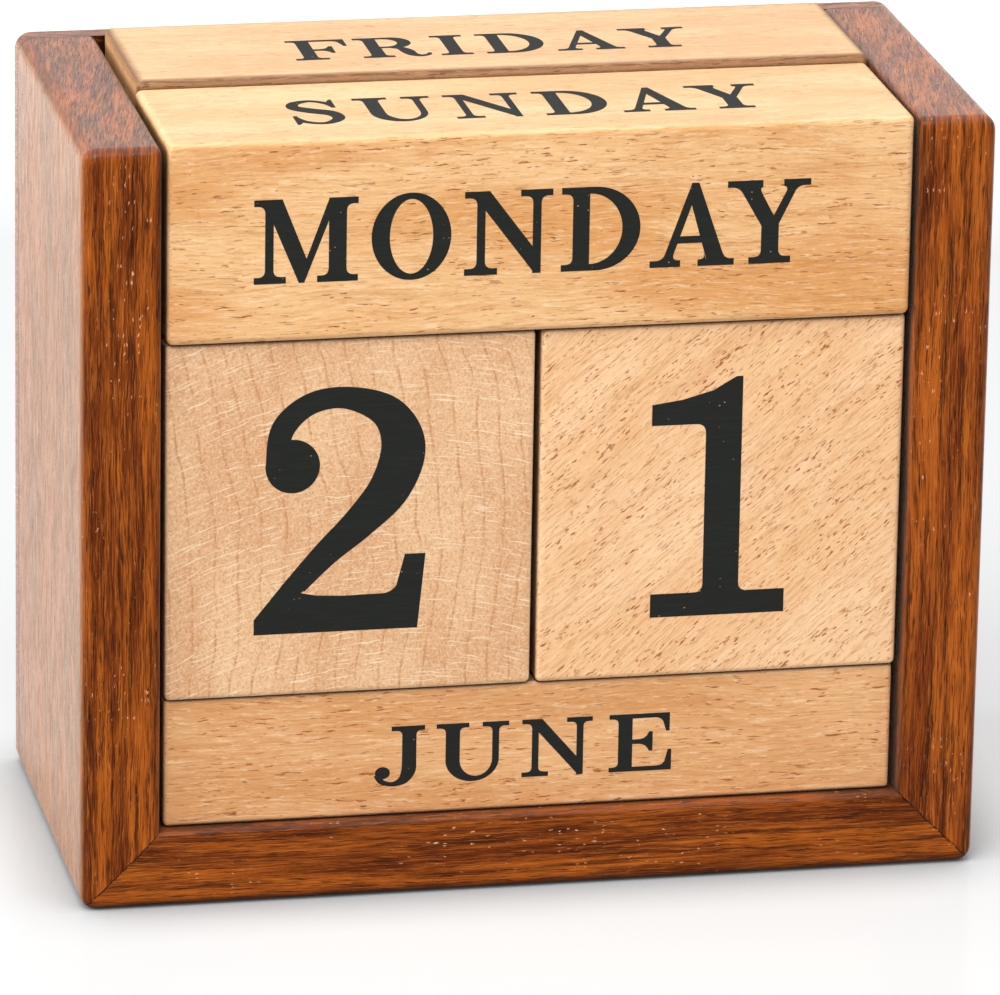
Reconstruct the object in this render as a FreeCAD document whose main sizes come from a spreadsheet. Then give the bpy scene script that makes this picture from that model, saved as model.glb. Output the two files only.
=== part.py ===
import FreeCAD, Part
import math
import os

import Sketcher

# Perpetual desk calendar: an open-fronted, open-topped wooden box holding loose blocks.
# Millimetres. +Z is up, -Y is the open front, and the origin is the middle of the underside.

# Every size that can be set by itself, in millimetres
SIZES = {
    "cube_size": 51.3,
    "weekday_bar_size": 28.5,
    # The rear bar was sawn a little thicker, so it stands above the front one
    "weekday_rear_size": 29.4,
    "board_thickness": 11.0,
    "back_thickness": 5.0,
    # How far each row of blocks stands behind the front of the box
    "weekday_setback": 0.6,
    "cube_setback": 1.6,
    "month_setback": 2.25,
    # Play round the loose blocks; a row runs this clear of the row that it slides on
    "block_clearance": 0.25,
    "row_clearance": 0.05,
    "left_clearance": 0.8,
    "cube_gap": 0.8,
    "cube_right_clearance": 0.8,
    "weekday_gap": 0.4,
    "weekday_back_clearance": 0.1,
    "weekday_right_clearance": 0.6,
    "weekday_rear_shift": 0.4,
    "month_right_clearance": 1.0,
    "bar_proud": 0.4,
    # Sanded arrises; the box's corners are rounder than its front and back edges
    "outer_round": 1.8,
    "corner_ease": 0.5,
    "inner_round": 1.0,
    "weekday_round": 1.0,
    "cube_round": 0.8,
    "month_round": 0.7,
    # Loose tongue glued into each mitre, stopped short of both ends of the joint
    "spline_stop": 10.0,
    "spline_width": 7.0,
    "spline_thickness": 2.5,
    "glue_clearance": 0.1,
    # Panel pins that hold the back
    "pin_radius": 0.6,
    "pin_length": 15.0,
    "pin_head_radius": 1.1,
    "pin_head_thickness": 0.6,
    "pin_clearance": 0.05,
}

# Where the panel pins stand, as shares of the box's height and width
SIDE_PIN_SHARES = (0.24, 0.56, 0.88)
BOTTOM_PIN_SHARES = (0.33, 0.67)

MONTH_BARS = 3
MITRE_TILT = 45.0
OVERRUN = 1.0
SAME_PLACE = 1e-6

# Sizes of the box, which follow from the blocks that it holds
INNER_WIDTH = (
    "(2 * Sizes.cube_size + Sizes.cube_gap + Sizes.left_clearance + Sizes.cube_right_clearance)"
)
WEEKDAY_PAIR = "(Sizes.weekday_bar_size + Sizes.weekday_gap + Sizes.weekday_rear_size)"
WEEKDAY_ROW = f"(Sizes.weekday_setback + {WEEKDAY_PAIR} + Sizes.weekday_back_clearance)"
CUBE_ROW = "(Sizes.cube_setback + Sizes.cube_size + Sizes.block_clearance)"
INNER_DEPTH = f"max({WEEKDAY_ROW}; {CUBE_ROW})"
MONTH_ROW = f"({INNER_DEPTH} - Sizes.month_setback - {MONTH_BARS} * Sizes.block_clearance)"
MONTH_BAR_SIZE = f"({MONTH_ROW} / {MONTH_BARS})"
FRAME_WIDTH = f"({INNER_WIDTH} + 2 * Sizes.board_thickness)"
FRAME_DEPTH = f"({INNER_DEPTH} + Sizes.back_thickness)"
CUBE_FLOOR = f"(Sizes.board_thickness + {MONTH_BAR_SIZE} + Sizes.row_clearance)"
WEEKDAY_FLOOR = f"({CUBE_FLOOR} + Sizes.cube_size + Sizes.row_clearance)"
FRAME_HEIGHT = f"({WEEKDAY_FLOOR} + Sizes.weekday_bar_size - Sizes.bar_proud)"
FRONT = f"(-{FRAME_DEPTH} / 2)"
CORNER_ROUND = "(Sizes.outer_round + Sizes.corner_ease)"


def number(expression):
    """Value of an expression in the sheet's sizes."""
    return float(doc.getObject("Sizes").evalExpression(expression))


def make_sheet():
    """Put the driving sizes in a spreadsheet, one alias each."""
    sheet = doc.addObject("Spreadsheet::Sheet", "Sizes")
    for row, (alias, value) in enumerate(SIZES.items(), start=1):
        sheet.set(f"A{row}", alias)
        sheet.set(f"B{row}", str(value))
        sheet.setAlias(f"B{row}", alias)
    doc.recompute()


def new_body(name, base):
    """Make a named body whose corner stands at three expressions."""
    body = doc.addObject("PartDesign::Body", name)
    body.Label = name
    for axis, expression in zip("xyz", base):
        body.setExpression(f"Placement.Base.{axis}", expression)
    return body


def new_sketch(body, name, role, offset="0", mirrored=False):
    """Attach a sketch to one of the body's own planes, moved along its normal."""
    sketch = body.newObject("Sketcher::SketchObject", name)
    plane = next(item for item in body.Origin.OriginFeatures if item.Role == role)
    sketch.AttachmentSupport = [(plane, "")]
    sketch.MapMode = "FlatFace"
    sketch.MapReversed = mirrored
    sketch.setExpression("AttachmentOffset.Base.z", offset)
    return sketch


def bind(sketch, name, constraint, expression):
    """Add a driving constraint and tie it to the sheet."""
    index = sketch.addConstraint(constraint)
    sketch.renameConstraint(index, name)
    sketch.setExpression(f"Constraints.{name}", expression)


def add_rectangle(sketch, width, height, centred=False):
    """Draw a rectangle from the sketch's origin, or round it."""
    across, up = number(width), number(height)
    start = FreeCAD.Vector(-across / 2, -up / 2, 0) if centred else FreeCAD.Vector()
    corners = [start + FreeCAD.Vector(x, y, 0) for x, y in ((0, 0), (across, 0), (across, up), (0, up))]
    for index, corner in enumerate(corners):
        sketch.addGeometry(Part.LineSegment(corner, corners[(index + 1) % len(corners)]))
    for index in range(len(corners)):
        following = (index + 1) % len(corners)
        sketch.addConstraint(Sketcher.Constraint("Coincident", index, 2, following, 1))
        direction = "Vertical" if index % 2 else "Horizontal"
        sketch.addConstraint(Sketcher.Constraint(direction, index))
    if centred:
        sketch.addConstraint(Sketcher.Constraint("Symmetric", 0, 1, 1, 2, -1, 1))
    else:
        sketch.addConstraint(Sketcher.Constraint("Coincident", 0, 1, -1, 1))
    bind(sketch, "width", Sketcher.Constraint("DistanceX", 0, 1, 0, 2, across), width)
    bind(sketch, "height", Sketcher.Constraint("DistanceY", 1, 1, 1, 2, up), height)


def add_circles(sketch, places, radius):
    """Draw equal circles at pairs of expressions."""
    for index, (across, up) in enumerate(places):
        centre = FreeCAD.Vector(number(across), number(up), 0)
        circle = Part.Circle(centre, FreeCAD.Vector(0, 0, 1), number(radius))
        sketch.addGeometry(circle)
        along = Sketcher.Constraint("DistanceX", -1, 1, index, 3, centre.x)
        bind(sketch, f"across_{index}", along, across)
        above = Sketcher.Constraint("DistanceY", -1, 1, index, 3, centre.y)
        bind(sketch, f"up_{index}", above, up)
        if index:
            sketch.addConstraint(Sketcher.Constraint("Equal", 0, index))
        else:
            bind(sketch, "radius", Sketcher.Constraint("Radius", index, number(radius)), radius)


def pad(body, name, sketch, length, backwards=False):
    """Extrude a sketch into the body."""
    feature = body.newObject("PartDesign::Pad", name)
    feature.Profile = sketch
    feature.setExpression("Length", length)
    feature.Reversed = backwards
    doc.recompute()
    return feature


def pocket(body, name, sketch, depth, backwards=False):
    """Cut a sketch out of the body, and check that it really took wood away."""
    before = body.Tip.Shape.Volume
    feature = body.newObject("PartDesign::Pocket", name)
    feature.Profile = sketch
    feature.setExpression("Length", depth)
    feature.Reversed = backwards
    doc.recompute()
    if feature.Shape.Volume >= before:
        raise RuntimeError(f"{body.Label}: {name} cut nothing")
    return feature


def lies_at(edge, x=None, y=None, z=None):
    """Whether both ends of an edge lie at the given coordinates."""
    wanted = {"x": x, "y": y, "z": z}
    return all(
        abs(getattr(vertex.Point, axis) - value) < SAME_PLACE
        for vertex in edge.Vertexes
        for axis, value in wanted.items()
        if value is not None
    )


def round_edges(body, name, radius, wanted):
    """Fillet the edges of the body's last feature that pass a test."""
    base = body.Tip
    edges = [f"Edge{i}" for i, edge in enumerate(base.Shape.Edges, start=1) if wanted(edge)]
    feature = body.newObject("PartDesign::Fillet", name)
    feature.Base = (base, edges)
    feature.setExpression("Radius", radius)
    doc.recompute()


def corner_points(radius):
    """Where a rounded, mitred corner crosses its mitre, and its arc's centre."""
    on_mitre = radius * (1 - math.sqrt(0.5))
    return FreeCAD.Vector(on_mitre, on_mitre, 0), FreeCAD.Vector(radius, radius, 0)


def arc(centre, radius, first, last):
    """Arc from one angle to another, in degrees, anticlockwise."""
    circle = Part.Circle(centre, FreeCAD.Vector(0, 0, 1), radius)
    return Part.ArcOfCircle(circle, math.radians(first), math.radians(last))


def add_side_profile(sketch):
    """Draw a side board seen from the front: outer face on the axis, mitre at the foot."""
    thick, tall = number("Sizes.board_thickness"), number(FRAME_HEIGHT)
    radius = number(CORNER_ROUND)
    toe, foot_centre = corner_points(radius)
    head_centre = FreeCAD.Vector(radius, tall - radius, 0)
    heel = FreeCAD.Vector(thick, thick, 0)
    top_inner = FreeCAD.Vector(thick, tall, 0)
    outer, head, top, inner, mitre, foot = sketch.addGeometry(
        [
            Part.LineSegment(FreeCAD.Vector(0, radius, 0), FreeCAD.Vector(0, tall - radius, 0)),
            arc(head_centre, radius, 90, 180),
            Part.LineSegment(FreeCAD.Vector(radius, tall, 0), top_inner),
            Part.LineSegment(top_inner, heel),
            Part.LineSegment(heel, toe),
            arc(foot_centre, radius, 180, 225),
        ]
    )
    sketch.addConstraint(
        [
            Sketcher.Constraint("Tangent", outer, 2, head, 2),
            Sketcher.Constraint("Tangent", head, 1, top, 1),
            Sketcher.Constraint("Coincident", top, 2, inner, 1),
            Sketcher.Constraint("Coincident", inner, 2, mitre, 1),
            Sketcher.Constraint("Coincident", mitre, 2, foot, 2),
            Sketcher.Constraint("Tangent", foot, 1, outer, 1),
            Sketcher.Constraint("Vertical", outer),
            Sketcher.Constraint("Horizontal", top),
            Sketcher.Constraint("Vertical", inner),
            Sketcher.Constraint("PointOnObject", outer, 2, -2),
            Sketcher.Constraint("PointOnObject", foot, 3, mitre),
            Sketcher.Constraint("Equal", foot, head),
        ]
    )
    bind(sketch, "height", Sketcher.Constraint("DistanceY", -1, 1, top, 2, tall), FRAME_HEIGHT)
    heel_across = Sketcher.Constraint("DistanceX", -1, 1, mitre, 1, thick)
    bind(sketch, "heel_across", heel_across, "Sizes.board_thickness")
    heel_up = Sketcher.Constraint("DistanceY", -1, 1, mitre, 1, thick)
    bind(sketch, "heel_up", heel_up, "Sizes.board_thickness")
    centre_up = Sketcher.Constraint("DistanceY", -1, 1, foot, 3, radius)
    bind(sketch, "centre_up", centre_up, CORNER_ROUND)
    bind(sketch, "round", Sketcher.Constraint("Radius", foot, radius), CORNER_ROUND)


def add_bottom_profile(sketch):
    """Draw the bottom board seen from the front: underside on the axis, a mitre at each end."""
    thick, wide = number("Sizes.board_thickness"), number(FRAME_WIDTH)
    radius = number(CORNER_ROUND)
    toe, centre = corner_points(radius)
    heel = FreeCAD.Vector(thick, thick, 0)
    far_toe = FreeCAD.Vector(wide - toe.x, toe.y, 0)
    far_heel = FreeCAD.Vector(wide - thick, thick, 0)
    far_centre = FreeCAD.Vector(wide - radius, radius, 0)
    under, far_foot, far_mitre, top, mitre, foot = sketch.addGeometry(
        [
            Part.LineSegment(FreeCAD.Vector(radius, 0, 0), FreeCAD.Vector(wide - radius, 0, 0)),
            arc(far_centre, radius, 270, 315),
            Part.LineSegment(far_toe, far_heel),
            Part.LineSegment(far_heel, heel),
            Part.LineSegment(heel, toe),
            arc(centre, radius, 225, 270),
        ]
    )
    sketch.addConstraint(
        [
            Sketcher.Constraint("Tangent", under, 2, far_foot, 1),
            Sketcher.Constraint("Coincident", far_foot, 2, far_mitre, 1),
            Sketcher.Constraint("Coincident", far_mitre, 2, top, 1),
            Sketcher.Constraint("Coincident", top, 2, mitre, 1),
            Sketcher.Constraint("Coincident", mitre, 2, foot, 1),
            Sketcher.Constraint("Tangent", foot, 2, under, 1),
            Sketcher.Constraint("Horizontal", under),
            Sketcher.Constraint("PointOnObject", under, 1, -1),
            Sketcher.Constraint("Horizontal", top),
            Sketcher.Constraint("PointOnObject", foot, 3, mitre),
            Sketcher.Constraint("PointOnObject", far_foot, 3, far_mitre),
            Sketcher.Constraint("Equal", foot, far_foot),
        ]
    )
    thickness = Sketcher.Constraint("DistanceY", -1, 1, top, 2, thick)
    bind(sketch, "thickness", thickness, "Sizes.board_thickness")
    heel_across = Sketcher.Constraint("DistanceX", -1, 1, top, 2, thick)
    bind(sketch, "heel_across", heel_across, "Sizes.board_thickness")
    top_width = Sketcher.Constraint("DistanceX", top, 2, top, 1, wide - 2 * thick)
    bind(sketch, "top_width", top_width, INNER_WIDTH)
    centre_across = Sketcher.Constraint("DistanceX", -1, 1, foot, 3, radius)
    bind(sketch, "centre_across", centre_across, CORNER_ROUND)
    between = Sketcher.Constraint("DistanceX", foot, 3, far_foot, 3, wide - 2 * radius)
    bind(sketch, "between_centres", between, f"{FRAME_WIDTH} - 2 * {CORNER_ROUND}")
    bind(sketch, "round", Sketcher.Constraint("Radius", foot, radius), CORNER_ROUND)


def cut_groove(body, name, across, mirrored=False):
    """Cut a groove for the mitre's loose tongue, square to the mitre and stopped at both ends."""
    sign = "" if mirrored else "-"
    start = f"{sign}(Sizes.spline_stop - Sizes.glue_clearance)"
    sketch = new_sketch(body, f"{name}_sketch", "XZ_Plane", start, mirrored)
    sketch.setExpression("AttachmentOffset.Base.x", across)
    sketch.setExpression("AttachmentOffset.Base.y", "Sizes.board_thickness / 2")
    tilt = MITRE_TILT if name == "far_groove" else -MITRE_TILT
    sketch.AttachmentOffset.Rotation = FreeCAD.Rotation(FreeCAD.Vector(0, 0, 1), tilt)
    width = "Sizes.spline_width + 2 * Sizes.glue_clearance"
    height = "Sizes.spline_thickness + 2 * Sizes.glue_clearance"
    add_rectangle(sketch, width, height, centred=True)
    length = f"{INNER_DEPTH} - 2 * Sizes.spline_stop + 2 * Sizes.glue_clearance"
    pocket(body, name, sketch, length, backwards=mirrored)


def cut_pin_holes(body, places, mirrored=False):
    """Drill a board's back end for the panel pins."""
    sign = "" if mirrored else "-"
    sketch = new_sketch(body, "pin_hole_sketch", "XZ_Plane", f"{sign}{INNER_DEPTH}", mirrored)
    add_circles(sketch, places, "Sizes.pin_radius + Sizes.pin_clearance")
    depth = "Sizes.pin_length - Sizes.back_thickness + Sizes.pin_clearance"
    pocket(body, "pin_holes", sketch, depth, backwards=not mirrored)


def side_pin_places():
    """Pin places in a side board, from its outer foot corner."""
    return [("Sizes.board_thickness / 2", f"{share} * {FRAME_HEIGHT}") for share in SIDE_PIN_SHARES]


def bottom_pin_places():
    """Pin places in the bottom board, from the box's left foot corner."""
    return [(f"{share} * {FRAME_WIDTH}", "Sizes.board_thickness / 2") for share in BOTTOM_PIN_SHARES]


def back_pin_places():
    """Every pin place in the back panel, from the box's left foot corner."""
    left = side_pin_places()
    right = [(f"{FRAME_WIDTH} - {across}", up) for across, up in left]
    return left + right + bottom_pin_places()


def build_side(name, mirrored):
    """Build one side board; the right one is the left one's mirror image."""
    side = "" if mirrored else "-"
    body = new_body(name, (f"{side}{FRAME_WIDTH} / 2", FRONT, "0"))
    sketch = new_sketch(body, "profile", "XZ_Plane", mirrored=mirrored)
    add_side_profile(sketch)
    pad(body, "board", sketch, INNER_DEPTH, backwards=not mirrored)
    cut_groove(body, "groove", "Sizes.board_thickness / 2", mirrored)
    cut_pin_holes(body, side_pin_places(), mirrored)
    inner = number("Sizes.board_thickness") * (-1 if mirrored else 1)
    top = number(FRAME_HEIGHT)
    round_edges(
        body,
        "outer_arrises",
        "Sizes.outer_round",
        lambda edge: lies_at(edge, x=0, y=0)
        or lies_at(edge, y=0, z=top)
        or (lies_at(edge, y=0) and edge.Curve.TypeId == "Part::GeomCircle"),
    )
    round_edges(
        body,
        "inner_arrises",
        "Sizes.inner_round",
        lambda edge: edge.Length > number("Sizes.board_thickness")
        and (lies_at(edge, x=inner, y=0) or lies_at(edge, x=inner, z=top)),
    )


def build_bottom_board():
    """Build the bottom board, which the month bars lie on."""
    body = new_body("bottom_board", (f"-{FRAME_WIDTH} / 2", FRONT, "0"))
    sketch = new_sketch(body, "profile", "XZ_Plane")
    add_bottom_profile(sketch)
    pad(body, "board", sketch, INNER_DEPTH, backwards=True)
    cut_groove(body, "groove", "Sizes.board_thickness / 2")
    cut_groove(body, "far_groove", f"{FRAME_WIDTH} - Sizes.board_thickness / 2")
    cut_pin_holes(body, bottom_pin_places())
    top = number("Sizes.board_thickness")
    round_edges(
        body,
        "outer_arrises",
        "Sizes.outer_round",
        lambda edge: lies_at(edge, y=0, z=0)
        or (lies_at(edge, y=0) and edge.Curve.TypeId == "Part::GeomCircle"),
    )
    round_edges(
        body, "inner_arris", "Sizes.inner_round", lambda edge: lies_at(edge, y=0, z=top)
    )


def build_back_panel():
    """Build the thin board laid over the back of the other three."""
    body = new_body("back_panel", (f"-{FRAME_WIDTH} / 2", f"{FRONT} + {INNER_DEPTH}", "0"))
    sketch = new_sketch(body, "outline", "XZ_Plane")
    add_rectangle(sketch, FRAME_WIDTH, FRAME_HEIGHT)
    pad(body, "board", sketch, "Sizes.back_thickness", backwards=True)
    shanks = new_sketch(body, "shank_hole_sketch", "XZ_Plane")
    add_circles(shanks, back_pin_places(), "Sizes.pin_radius + Sizes.pin_clearance")
    pocket(body, "shank_holes", shanks, "Sizes.back_thickness")
    seat = "-(Sizes.back_thickness - Sizes.pin_head_thickness - Sizes.pin_clearance)"
    heads = new_sketch(body, "head_seat_sketch", "XZ_Plane", seat)
    add_circles(heads, back_pin_places(), "Sizes.pin_head_radius + Sizes.pin_clearance")
    pocket(body, "head_seats", heads, f"Sizes.pin_head_thickness + {OVERRUN}")
    back = number("Sizes.back_thickness")
    wide, tall = number(FRAME_WIDTH), number(FRAME_HEIGHT)
    round_edges(
        body,
        "corners",
        CORNER_ROUND,
        lambda edge: any(lies_at(edge, x=x, z=z) for x in (0, wide) for z in (0, tall)),
    )
    round_edges(
        body,
        "back_arris",
        "Sizes.outer_round",
        lambda edge: lies_at(edge, y=back) and len(edge.Vertexes) > 1,
    )


def build_spline(name, side, tilt):
    """Build the loose tongue inside one mitre."""
    across = f"{side} * ({FRAME_WIDTH} - Sizes.board_thickness) / 2"
    along = f"{FRONT} + Sizes.spline_stop"
    body = new_body(name, (across, along, "Sizes.board_thickness / 2"))
    body.Placement.Rotation = FreeCAD.Rotation(FreeCAD.Vector(0, 1, 0), tilt)
    sketch = new_sketch(body, "section", "XZ_Plane")
    add_rectangle(sketch, "Sizes.spline_width", "Sizes.spline_thickness", centred=True)
    pad(body, "tongue", sketch, f"{INNER_DEPTH} - 2 * Sizes.spline_stop", backwards=True)


def build_pins():
    """Build the panel pins, heads flush with the back."""
    body = new_body("back_panel_pins", (f"-{FRAME_WIDTH} / 2", f"{FRONT} + {INNER_DEPTH}", "0"))
    body.AllowCompound = True
    under_head = "-(Sizes.back_thickness - Sizes.pin_head_thickness)"
    heads = new_sketch(body, "head_sketch", "XZ_Plane", under_head)
    add_circles(heads, back_pin_places(), "Sizes.pin_head_radius")
    pad(body, "heads", heads, "Sizes.pin_head_thickness", backwards=True)
    shanks = new_sketch(body, "shank_sketch", "XZ_Plane", under_head)
    add_circles(shanks, back_pin_places(), "Sizes.pin_radius")
    pad(body, "shanks", shanks, "Sizes.pin_length - Sizes.pin_head_thickness")


def build_block(name, base, length, size, rounding):
    """Build one square block, long side across the box, with every edge eased."""
    body = new_body(name, base)
    sketch = new_sketch(body, "underside", "XY_Plane")
    add_rectangle(sketch, length, size)
    pad(body, "block", sketch, size)
    round_edges(body, "eased_edges", rounding, lambda edge: True)


def build_blocks():
    """Build the loose blocks: a row of bars on top, two cubes, and a row of bars below."""
    left = f"-{INNER_WIDTH} / 2 + Sizes.left_clearance"
    inside = f"{INNER_WIDTH} - Sizes.left_clearance"
    weekday_pitch = "(Sizes.weekday_bar_size + Sizes.weekday_gap)"
    bars = (("front", "Sizes.weekday_bar_size"), ("rear", "Sizes.weekday_rear_size"))
    for index, (place, size) in enumerate(bars):
        across = f"{left} + {index} * Sizes.weekday_rear_shift"
        along = f"{FRONT} + Sizes.weekday_setback + {index} * {weekday_pitch}"
        build_block(
            f"weekday_bar_{place}",
            (across, along, WEEKDAY_FLOOR),
            f"{inside} - Sizes.weekday_right_clearance",
            size,
            "Sizes.weekday_round",
        )
    for index, place in enumerate(("left", "right")):
        across = f"{left} + {index} * (Sizes.cube_size + Sizes.cube_gap)"
        build_block(
            f"number_cube_{place}",
            (across, f"{FRONT} + Sizes.cube_setback", CUBE_FLOOR),
            "Sizes.cube_size",
            "Sizes.cube_size",
            "Sizes.cube_round",
        )
    month_pitch = f"({MONTH_BAR_SIZE} + Sizes.block_clearance)"
    for index, place in enumerate(("front", "middle", "rear")):
        along = f"{FRONT} + Sizes.month_setback + {index} * {month_pitch}"
        build_block(
            f"month_bar_{place}",
            (left, along, "Sizes.board_thickness"),
            f"{inside} - Sizes.month_right_clearance",
            MONTH_BAR_SIZE,
            "Sizes.month_round",
        )


def check_document():
    """Stop if any object failed or any piece is not a valid solid."""
    for item in doc.Objects:
        if {"Invalid", "Error"} & set(item.State):
            raise RuntimeError(f"{item.Label} failed: {item.State}")
        if item.TypeId == "Sketcher::SketchObject" and not item.FullyConstrained:
            raise RuntimeError(f"{item.Label} is not fully constrained")
    for body in pieces():
        shape = body.Shape
        if shape.isNull() or not shape.isValid() or not shape.Solids:
            raise RuntimeError(f"{body.Label} has no valid solid")


def pieces():
    """Every separate piece of the calendar."""
    return [item for item in doc.Objects if item.TypeId == "PartDesign::Body"]


doc = FreeCAD.newDocument("PerpetualDeskCalendar")
make_sheet()
build_side("left_side", mirrored=False)
build_side("right_side", mirrored=True)
build_bottom_board()
build_back_panel()
build_spline("mitre_spline_left", -1, MITRE_TILT)
build_spline("mitre_spline_right", 1, -MITRE_TILT)
build_pins()
build_blocks()
doc.recompute()
check_document()

os.makedirs("parts", exist_ok=True)
for piece in pieces():
    piece.Shape.exportStep(f"parts/{piece.Label}.step")
    box = piece.Shape.BoundBox
    print(
        f"{piece.Label}: {len(piece.Shape.Solids)} solid(s), "
        f"x {box.XMin:.2f} to {box.XMax:.2f}, y {box.YMin:.2f} to {box.YMax:.2f}, "
        f"z {box.ZMin:.2f} to {box.ZMax:.2f}, {piece.Shape.Volume:.0f} mm3"
    )
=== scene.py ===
"""Perpetual desk calendar: an open box of dark streaked wood that holds loose beech blocks.

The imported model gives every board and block. This script dresses them, prints the names and
numbers on the blocks, and sets up the floor, the light and the camera. Lengths are in metres,
but textures work in millimetres, and letterforms in heights of a capital.
"""

import logging
import math
from collections.abc import Iterable, Sequence
from dataclasses import dataclass, field
from enum import Enum

import bpy
from mathutils import Matrix, Vector
from mathutils.geometry import delaunay_2d_cdt


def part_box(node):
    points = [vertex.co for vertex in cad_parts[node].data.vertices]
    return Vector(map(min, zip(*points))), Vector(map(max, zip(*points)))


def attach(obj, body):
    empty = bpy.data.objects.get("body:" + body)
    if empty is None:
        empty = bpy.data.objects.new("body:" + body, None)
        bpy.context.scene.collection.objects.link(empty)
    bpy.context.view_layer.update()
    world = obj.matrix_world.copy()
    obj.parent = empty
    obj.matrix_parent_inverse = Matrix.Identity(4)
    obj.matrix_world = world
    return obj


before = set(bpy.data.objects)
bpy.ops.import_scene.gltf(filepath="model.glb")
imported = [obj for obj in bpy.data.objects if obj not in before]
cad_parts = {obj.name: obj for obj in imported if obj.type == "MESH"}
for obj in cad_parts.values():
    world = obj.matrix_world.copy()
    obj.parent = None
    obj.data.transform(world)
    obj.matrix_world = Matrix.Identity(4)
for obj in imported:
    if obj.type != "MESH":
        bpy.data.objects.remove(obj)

LOG = logging.getLogger("calendar")
MM = 0.001
PER_METRE = 1000.0

Point = tuple[float, float]
Triple = tuple[float, float, float]
Socket = bpy.types.NodeSocket
Feed = float | tuple | Socket


def paint(red: float, green: float, blue: float) -> tuple[float, float, float, float]:
    """Turn a screen colour from 0 to 255 into the linear colour that a shader takes.

    Args:
        red: Red as it looks on screen.
        green: Green as it looks on screen.
        blue: Blue as it looks on screen.

    Returns:
        The linear colour, with full alpha.
    """
    linear = []
    for channel in (red, green, blue):
        share = channel / 255.0
        low = share <= 0.04045
        linear.append(share / 12.92 if low else ((share + 0.055) / 1.055) ** 2.4)
    return (*linear, 1.0)


# The pale bloom of oiled wood seen from a low angle
BLOOM = paint(255, 226, 196)
# Painted highlight for beech edges, and painted shade where a piece meets the next one
BEECH_EDGE_HIGHLIGHT = paint(255, 230, 190)
SEAM_SHADE = paint(52, 26, 12)
WHITE = (1.0, 1.0, 1.0, 1.0)


# Shader graphs


class Grain(Enum):
    """Which way the fibres run, as the turn that lays them along X."""

    ALONG_X = (0.0, 0.0, 0.0)
    ALONG_Y = (0.0, 0.0, -math.pi / 2)
    ALONG_Z = (0.0, math.pi / 2, 0.0)
    RISING = (0.0, math.radians(40.0), 0.0)


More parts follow.
